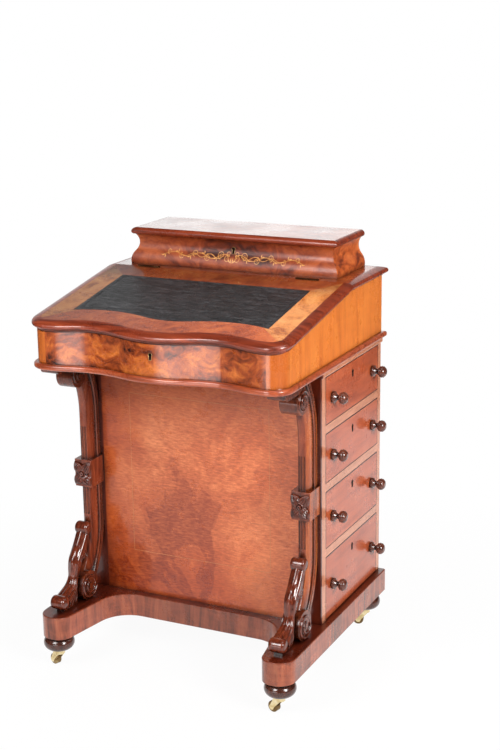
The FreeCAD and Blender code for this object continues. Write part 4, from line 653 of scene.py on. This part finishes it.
def petal(form, x, angle):
    """One scooped and ribbed petal that points from the block's middle towards a corner."""
    along = Vector((math.cos(angle), 0.0, math.sin(angle)))
    across = Vector((-math.sin(angle), 0.0, math.cos(angle)))
    rows = []
    for i in range(19):
        t = i / 18
        half = PETAL_HALF * math.sin(math.pi * (0.10 + 0.90 * t) ** 0.8) ** 0.75 + 0.0002
        crest = PETAL_CREST * math.sin(math.pi * (0.16 + 0.78 * t)) ** 0.6
        row = []
        for j in range(33):
            u = j / 16 - 1
            rib = 0.0010 * math.cos(math.pi * 5 * u) * math.sin(math.pi * t)
            height = (crest + rib) * math.sqrt(max(0.0, 1.0 - u ** 4)) - 0.0004
            place = along * (0.003 + (PETAL_LENGTH - 0.003) * t) + across * (half * u)
            row.append(Vector((x, BLOCK_FACE_Y - height, BLOCK_MIDDLE_Z)) + place)
        rows.append(row)
    form.grid(rows)


def carve_flowers(material):
    """A flower of four petals round a ringed boss on the face of each block."""
    for hand, x in (("left", -PILLAR_X), ("right", PILLAR_X)):
        form = Form()
        for angle in (PETAL_ANGLE, math.pi - PETAL_ANGLE, math.pi + PETAL_ANGLE, -PETAL_ANGLE):
            petal(form, x, angle)
        for radius, height, width in ((0.0072, 0.0052, 0.0024), (0.0030, 0.0062, 0.0040)):
            ring = []
            for i in range(RING_STEPS + 1):
                t = math.tau * i / RING_STEPS
                across, up = radius * math.cos(t), radius * math.sin(t)
                place = Vector((x + across, BLOCK_FACE_Y - height, BLOCK_MIDDLE_Z + up))
                ring.append((place, Vector((0.0, -1.0, 0.0))))
            form.bead(ring, [width] * len(ring), [width * 0.5] * len(ring))
        form.make(f"block_flower_{hand}", material)


def ring_knobs(material):
    """Turned rings round the foot and the ball of every knob, real and dummy."""
    for number in range(1, 5):
        low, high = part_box(f"drawer_{number}_knobs")
        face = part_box(f"drawer_{number}_front")[1][0]
        half, z = (high[2] - low[2]) / 2, (high[2] + low[2]) / 2
        hands = ((1, f"drawer_{number}_knobs", f"drawer_{number}"), (-1, "dummy_knobs", "carcase"))
        for hand, node, body in hands:
            form, skin = Form(), Skin(node)
            for y in (low[1] + half, high[1] - half):
                for share in KNOB_RINGS:
                    middle, path = Vector((hand * (face + (high[0] - face) * share), y, z)), []
                    for i in range(RING_STEPS + 1):
                        t = math.tau * i / RING_STEPS
                        out = Vector((0.0, math.cos(t), math.sin(t)))
                        path.append(skin.cast(middle + out * (CAST_REACH / 2), -out))
                    form.bead(path, [KNOB_RING_WIDTH] * len(path), [KNOB_RING_HEIGHT] * len(path))
            form.make(f"{node}_rings_{number}", material, body)


def ribbon(form, skin, line, widths, lift=0.00025):
    """A flat inlaid line on a surface that faces the sitter; the line gives x and z."""
    rows = []
    for i, (x, z) in enumerate(line):
        before, after = line[max(i - 1, 0)], line[min(i + 1, len(line) - 1)]
        run, rise = after[0] - before[0], after[1] - before[1]
        size = math.hypot(run, rise) or 1.0
        row = []
        for side in (-0.5, 0.5):
            place = (x - rise / size * widths[i] * side, -0.4, z + run / size * widths[i] * side)
            hit = skin.cast(place, (0.0, 1.0, 0.0))[0]
            if hit is None:
                return
            row.append(hit - Vector((0.0, lift, 0.0)))
        rows.append(row)
    form.grid(rows)


def curl(x, z, radius, start, turns):
    """A flat spiral from its rim in, as x and z."""
    line = []
    for i in range(CURL_STEPS + 1):
        t = i / CURL_STEPS
        reach, angle = radius * (1.0 - (1.0 - 0.22) * t), start + math.tau * turns * t
        line.append((x + reach * math.cos(angle), z + reach * math.sin(angle)))
    return line


def leaf(x, z, length, angle, bow):
    """The bowed middle of a small leaf, as x and z."""
    line = []
    for i in range(LEAF_STEPS + 1):
        t = i / LEAF_STEPS
        turn = angle + bow * t
        line.append((x + length * t * math.cos(turn), z + length * t * math.sin(turn)))
    return line


def narrowing(start, loss, steps):
    """Widths that fall evenly along a line."""
    return [start - loss * i / steps for i in range(steps + 1)]


def swelling(ends, more):
    """Widths of a leaf, from its stalk to its tip."""
    return [ends + more * math.sin(math.pi * i / LEAF_STEPS) for i in range(LEAF_STEPS + 1)]


def inlay_box(material):
    """Scrolling stems, tendrils and small leaves along the swell of the box front, alike on both sides."""
    form, skin = Form(), Skin("stationery_case")
    level = BOX_MARQUETRY_Z
    lines = []
    for start, end, lift, phase in ((0.006, 0.160, 0.0050, 0.4), (0.020, 0.118, 0.0042, 2.6)):
        stem = []
        for i in range(STEM_STEPS + 1):
            sway = math.sin(math.tau * 2.6 * i / STEM_STEPS + phase)
            stem.append((start + (end - start) * i / STEM_STEPS,
                         level + lift * (1.0 - 0.4 * i / STEM_STEPS) * sway))
        lines.append((stem, narrowing(0.0012, 0.0005, STEM_STEPS)))
    for number in range(5):
        x, hand = 0.026 + 0.030 * number, (-1) ** number
        line = curl(x, level + hand * 0.0036, 0.0080 - 0.0007 * number, -hand * math.pi / 2, hand * 1.5)
        lines.append((line, narrowing(0.0012, 0.0005, CURL_STEPS)))
        for angle, length in ((0.7, 0.0085), (2.3, 0.0065)):
            shape = leaf(x + 0.010, level - hand * 0.003, length, -hand * angle, hand * 0.7)
            lines.append((shape, swelling(0.0003, 0.0016)))
    low_curl = curl(0.0105, level - 0.0035, 0.0075, 2.2, -1.3)
    lines.append((low_curl, narrowing(0.0013, 0.0006, CURL_STEPS)))
    high_curl = curl(0.0090, level + 0.0065, 0.0058, -2.0, 1.2)
    lines.append((high_curl, narrowing(0.0012, 0.0005, CURL_STEPS)))
    for angle, length in ((0.45, 0.012), (1.15, 0.010)):
        shape = leaf(0.001, level - 0.011, length, angle, 0.35)
        lines.append((shape, swelling(0.0004, 0.0018)))
    for line, widths in lines:
        ribbon(form, skin, line, widths)
        ribbon(form, skin, [(-x, z) for x, z in line], widths)
    form.make("box_marquetry", material, slot="walnut_veneer")


def inlay_panel(material):
    """A thin pale line round the front panel."""
    form, skin = Form(), Skin("pedestal_front_panel")
    half, low, high = PANEL_LINE_HALF, PANEL_LINE_LOW, PANEL_LINE_HIGH
    corners = [(-half, low), (half, low), (half, high), (-half, high), (-half, low)]
    for (x, z), (next_x, next_z) in zip(corners, corners[1:]):
        ribbon(form, skin, [(x, z), (next_x, next_z)], [PANEL_LINE_WIDTH] * 2)
    form.make("panel_stringing", material, slot="walnut_veneer")


def keyhole_line(margin):
    """A keyhole's outline a margin outside its edge, as across and up from the eye."""
    eye, slot = KEYHOLE_EYE + margin, KEYHOLE_SLOT + margin
    foot = -KEYHOLE_LENGTH - margin
    open_half = math.asin(slot / eye)
    line = [(slot, foot)]
    for i in range(17):
        angle = -math.pi / 2 + open_half + (math.tau - 2 * open_half) * i / 16
        line.append((eye * math.cos(angle), eye * math.sin(angle)))
    line += [(-slot, foot), (slot, foot)]
    return line


def line_keyholes(shade_ring, brass):
    """A near-black rim round every keyhole, painted shade that widens the dark of the hole, in a brass
    thread on the desk and its box.
    """
    fronts = [("desk_front", "carcase", (0.0, None, DESK_KEYHOLE_Z)),
              ("stationery_case", "carcase", (0.0, None, BOX_KEYHOLE_Z))]
    for number, z in enumerate(DRAWER_KEYHOLES_Z, 1):
        fronts.append((f"drawer_{number}_front", f"drawer_{number}", (None, DRAWER_KEYHOLE_Y, z)))
    for node, body, (x, y, z) in fronts:
        skin = Skin(node)
        # A near-black rim of painted shade round the hole
        rings = [("lining", shade_ring, "lock_steel", 0.0011, 0.0034, 0.0004)]
        if x is not None:
            rings[0] = ("lining", shade_ring, "lock_steel", 0.0004, 0.0016, 0.0003)
            rings.append(("thread", brass, "brass", 0.0015, 0.0009, 0.0005))
        for name, material, slot, margin, width, height in rings:
            path = []
            for across, up in keyhole_line(margin):
                if x is None:
                    path.append(skin.cast((0.5, y + across, z + up), (-1.0, 0.0, 0.0)))
                else:
                    path.append(skin.cast((x + across, -0.5, z + up), (0.0, 1.0, 0.0)))
            form = Form()
            form.bead(path, [width] * len(path), [height] * len(path))
            form.make(f"{node}_keyhole_{name}", material, body, slot)


def lay_leather(material):
    """The glued hide: a little raised and soft, with two blind-tooled lines round it."""
    skin = Skin("writing_leather")
    drop = Vector((0.0, 0.0, -1.0))
    margins = (0.0, 0.0004, 0.0012, 0.0030, 0.0078, 0.0084, 0.0090, 0.0096, 0.0114, 0.0120, 0.0126, 0.0150)
    edge = [LEATHER_HALF - 0.0002 - m for m in margins]
    columns = [-x for x in edge] + [edge[-1] * k / 20 for k in range(-19, 20)] + edge[::-1]
    rows = []
    for x in columns:
        inside, outside = -0.08, -0.25
        for _ in range(24):
            middle = (inside + outside) / 2
            if skin.cast((x, middle, 1.0), drop)[0] is None:
                outside = middle
            else:
                inside = middle
        front, back = inside + 0.0002, LEATHER_BACK_Y - 0.0004
        depths = [front + m for m in margins]
        depths += [front + 0.015 + (back - front - 0.030) * k / 24 for k in range(1, 24)]
        depths += [back - m for m in reversed(margins)]
        row = []
        for y in depths:
            hit = skin.cast((x, y, 1.0), drop)[0]
            from_edge = min(LEATHER_HALF - 0.0002 - abs(x), y - front, back - y)
            height = 0.0003 * min(1.0, from_edge / 0.0012)
            for tool in (0.0087, 0.0117):
                height -= 0.00045 * max(0.0, 1.0 - abs(from_edge - tool) / 0.0008)
            height += 0.00012 * math.sin(61 * x + 0.7) * math.sin(83 * y + 1.3)
            row.append(Vector((x, y, hit.z + height)))
        rows.append(row)
    form = Form()
    form.grid(rows)
    piece = form.make("leather_hide", material, "slope_lid", "black_leather")
    thick = piece.modifiers.new("thickness", "SOLIDIFY")
    thick.thickness = 0.0013
    thick.offset = -1.0
    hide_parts("writing_leather")


def dress(material, *names):
    """One material on the whole of each named CAD node."""
    for name in names:
        slots = nodes[name].data.materials
        slots.clear()
        slots.append(material)


def make_camera():
    azimuth, elevation, roll = (math.radians(a) for a in (CAMERA_AZIMUTH, CAMERA_ELEVATION, CAMERA_ROLL))
    right = Vector((math.cos(azimuth), math.sin(azimuth), 0.0))
    back = Vector((math.sin(azimuth) * math.cos(elevation), -math.cos(azimuth) * math.cos(elevation),
                   math.sin(elevation)))
    up = back.cross(right)
    side = right * math.cos(roll) + up * math.sin(roll)
    top = up * math.cos(roll) - right * math.sin(roll)
    data = bpy.data.cameras.new("camera")
    data.sensor_width = SENSOR
    data.lens = SENSOR * FOCAL_PIXELS / PHOTO_HEIGHT
    camera = bpy.data.objects.new("camera", data)
    camera.matrix_world = Matrix.Translation(CAMERA_PLACE) @ Matrix((side, top, back)).transposed().to_4x4()
    bpy.context.scene.collection.objects.link(camera)
    bpy.context.scene.camera = camera


def make_lamp(name, place, target, size, power, diffuse=True, glossy=True):
    data = bpy.data.lights.new(name, "AREA")
    data.shape = "RECTANGLE"
    data.size, data.size_y = size
    data.energy = power
    lamp = bpy.data.objects.new(name, data)
    lamp.location = place
    lamp.rotation_mode = "QUATERNION"
    lamp.rotation_quaternion = (Vector(target) - Vector(place)).to_track_quat("-Z", "Y")
    lamp.visible_camera = False
    lamp.visible_diffuse, lamp.visible_glossy = diffuse, glossy
    bpy.context.scene.collection.objects.link(lamp)


def make_world():
    """White to the camera; polish and metal see a white wall behind the desk and a dim room elsewhere."""
    world = bpy.data.worlds.new("studio")
    bpy.context.scene.world = world
    world.use_nodes = True
    tree = Tree(world.node_tree)
    camera, clear = tree.seen()
    way = tree.node("ShaderNodeTexCoord").outputs["Generated"]
    behind = tree.span(tree.dot(way, (-0.55, 0.83, 0.0)), 0.66, 0.86)
    below = tree.span(tree.axes(way)[2], 0.62, 0.34)
    wall = tree.span(tree.math("MULTIPLY", behind, below), 0.0, 1.0, 0.05, 0.8)
    level = tree.math("ADD", tree.math("MULTIPLY", clear, wall), camera)
    shade = tree.math("SUBTRACT", 1.0, tree.math("MAXIMUM", camera, clear))
    level = tree.math("ADD", level, tree.math("MULTIPLY", shade, 0.11))
    background = tree.tree.nodes["Background"]
    background.inputs["Color"].default_value = (1.0, 1.0, 1.0, 1.0)
    tree.give(background.inputs["Strength"], level)


def make_floor():
    """White paper: bright where it is seen, with the desk's own soft shadow near it."""
    paint = Paint("floor_white")
    camera, clear = paint.seen()
    far = paint.node("ShaderNodeVectorMath", {0: paint.place}, operation="LENGTH").outputs["Value"]
    paper = paint.math("MULTIPLY", clear, paint.span(far, 1.75, 2.10, 1.0, 0.06))
    glow = paint.math("ADD", camera, paper)
    glow = paint.node("ShaderNodeEmission", {"Color": (1.0, 1.0, 1.0, 1.0), "Strength": glow}).outputs[0]
    matt = paint.node("ShaderNodeBsdfDiffuse", {"Color": (0.86, 0.86, 0.86, 1.0)}).outputs[0]
    share = paint.span(far, 0.45, 1.1, 0.945, 1.0)
    share = paint.math("MULTIPLY", paint.math("MAXIMUM", camera, clear), share)
    mixed = paint.node("ShaderNodeMixShader", {0: share, 1: matt, 2: glow}).outputs[0]
    paint.give(paint.tree.nodes["Material Output"].inputs["Surface"], mixed)
    mesh = bpy.data.meshes.new("floor")
    r = FLOOR_REACH
    mesh.from_pydata([(-r, -r, 0), (r, -r, 0), (r, r, 0), (-r, r, 0)], [], [(0, 1, 2, 3)])
    mesh.materials.append(paint.material)
    floor = bpy.data.objects.new("floor", mesh)
    bpy.context.scene.collection.objects.link(floor)


def make_lamps():
    desk = (0.0, 0.0, 0.45)
    make_lamp("key", (-1.3, -2.8, 2.2), desk, (1.5, 1.5), 84.0, glossy=False)
    make_lamp("key_seen", (-0.55, -2.9, 2.2), desk, (1.3, 1.5), 84.0, diffuse=False)
    make_lamp("right_key", (2.8, -1.3, 1.7), desk, (0.9, 1.4), 112.0)
    make_lamp("top", (0.8, -0.3, 3.0), (0.1, 0.0, 0.8), (1.4, 1.4), 18.0)
    make_lamp("back_fill", (-1.2, 3.2, 1.9), desk, (1.6, 1.6), 46.0, glossy=False)
    make_lamp("back_card", (-1.7, 3.6, 1.52), (0.0, 0.2, 0.87), (1.5, 0.5), 3.4, diffuse=False)
    for number, width in enumerate((0.80, 0.95, 1.10, 1.25), 1):
        place = (-0.20, -1.98 - 0.02 * number, 0.22)
        make_lamp(f"low_card_{number}", place, (-0.1, -0.25, 0.7), (width, 0.26), 1.15 * width,
                  diffuse=False)


def dress_nodes():
    drawers = [f"drawer_{n}" for n in range(1, 5)]
    knobs = wood("knob_turned", KNOB, 0, 0.008, dullness=0.6)
    dress(wood("golden_upright", GOLDEN, 2, 0.018, 0.2, 0.36), "desk_sides")
    dress(wood("dummy_veneer", DRAWER, 1, 0.013, 0.2, 0.34), "dummy_drawer_fronts")
    dress(mottled("satin_panel", PANEL), "pedestal_front_panel", "pedestal_back_panel", "desk_back",
          "pedestal_top")
    dress(drawer_veneer("drawer_veneer", DRAWER), *(d + "_front" for d in drawers))
    dress(wood("rail_veneer", RAIL, 1, 0.010, 0.2), "drawer_rails", "pedestal_left_panel")
    dress(burr("burr_front", BURR, 0.2365, CORNER, dullness=0.9), "desk_front")
    dress(burr("burr_box", BOX_BURR, end_tones=BOX_END, dullness=1.35, coat=0.12), "stationery_case",
          "stationery_back")
    slope = (0.0, -math.sin(LID_SLOPE), math.cos(LID_SLOPE))
    dress(crossbanded("lid_band", slope, BAND, BAND_RED, MOULDING), "slope_lid")
    dress(crossbanded("top_band", (0.0, 0.0, 1.0), BAND, BAND_RED, MOULDING), "stationery_lid", "desk_deck")
    dress(wood("base_moulding", BASE, 0, 0.011), "desk_base")
    dress(plinth_veneer("plinth_slips", PLINTH), "plinth")
    dress(wood("bun_turned", BUN, 2, 0.010, dullness=0.6), "bun_feet")
    dress(knobs, "dummy_knobs", *(d + "_knobs" for d in drawers))
    dress(pillar_wood("pillar_carved", PILLAR, PILLAR_LIT_SIDE), "pillar_left", "pillar_right")
    dress(wood("foot_carved", CARVING, 2, 0.011, dullness=0.5, carved=True), "scroll_foot_left",
          "scroll_foot_right")
    dress(wood("drawer_lining", OAK, 1, 0.010, reach=0.45), *(d + "_box" for d in drawers),
          "drawer_runners", "stationery_partitions")
    castor = metal("castor_brass", CASTOR_BRASS, 0.10, 0.14)
    dress(castor, *(n for n in nodes if "castor" in n and "wheel" not in n))
    wheel = metal("wheel_brass", WHEEL_BRASS, 0.22, 0.20)
    dress(wheel, *(n for n in nodes if "castor_wheel" in n))
    aged = metal("aged_brass", AGED_BRASS, 0.45, 0.20)
    dress(aged, *(n for n in nodes if "hinge" in n))
    steel = metal("lock_steel", LOCK_STEEL, 0.28, 0.18)
    dress(steel, *(n for n in nodes if "lock" in n))


def add_pieces():
    carved = wood("carved_detail", CARVING, 2, 0.006, dullness=0.5, carved=True)
    ring_knobs(wood("knob_rings", KNOB, 0, 0.008, dullness=0.6))
    brass = metal("thread_brass", THREAD_BRASS, 0.22, 0.16)
    shade_ring = metal("keyhole_shade_ring", KEYHOLE_SHADE_RING, 0.45, 0.2)
    carve_scrolls(carved)
    carve_flowers(carved)
    inlay_box(wood("satinwood_inlay", SATINWOOD, 0, 0.004))
    inlay_panel(wood("stringing_inlay", STRINGING, 0, 0.004))
    line_keyholes(shade_ring, brass)
    lay_leather(leather("black_hide"))


def main():
    make_world()
    make_floor()
    make_lamps()
    make_camera()
    dress_nodes()
    add_pieces()
    bpy.context.scene.view_settings.view_transform = "Standard"


main()
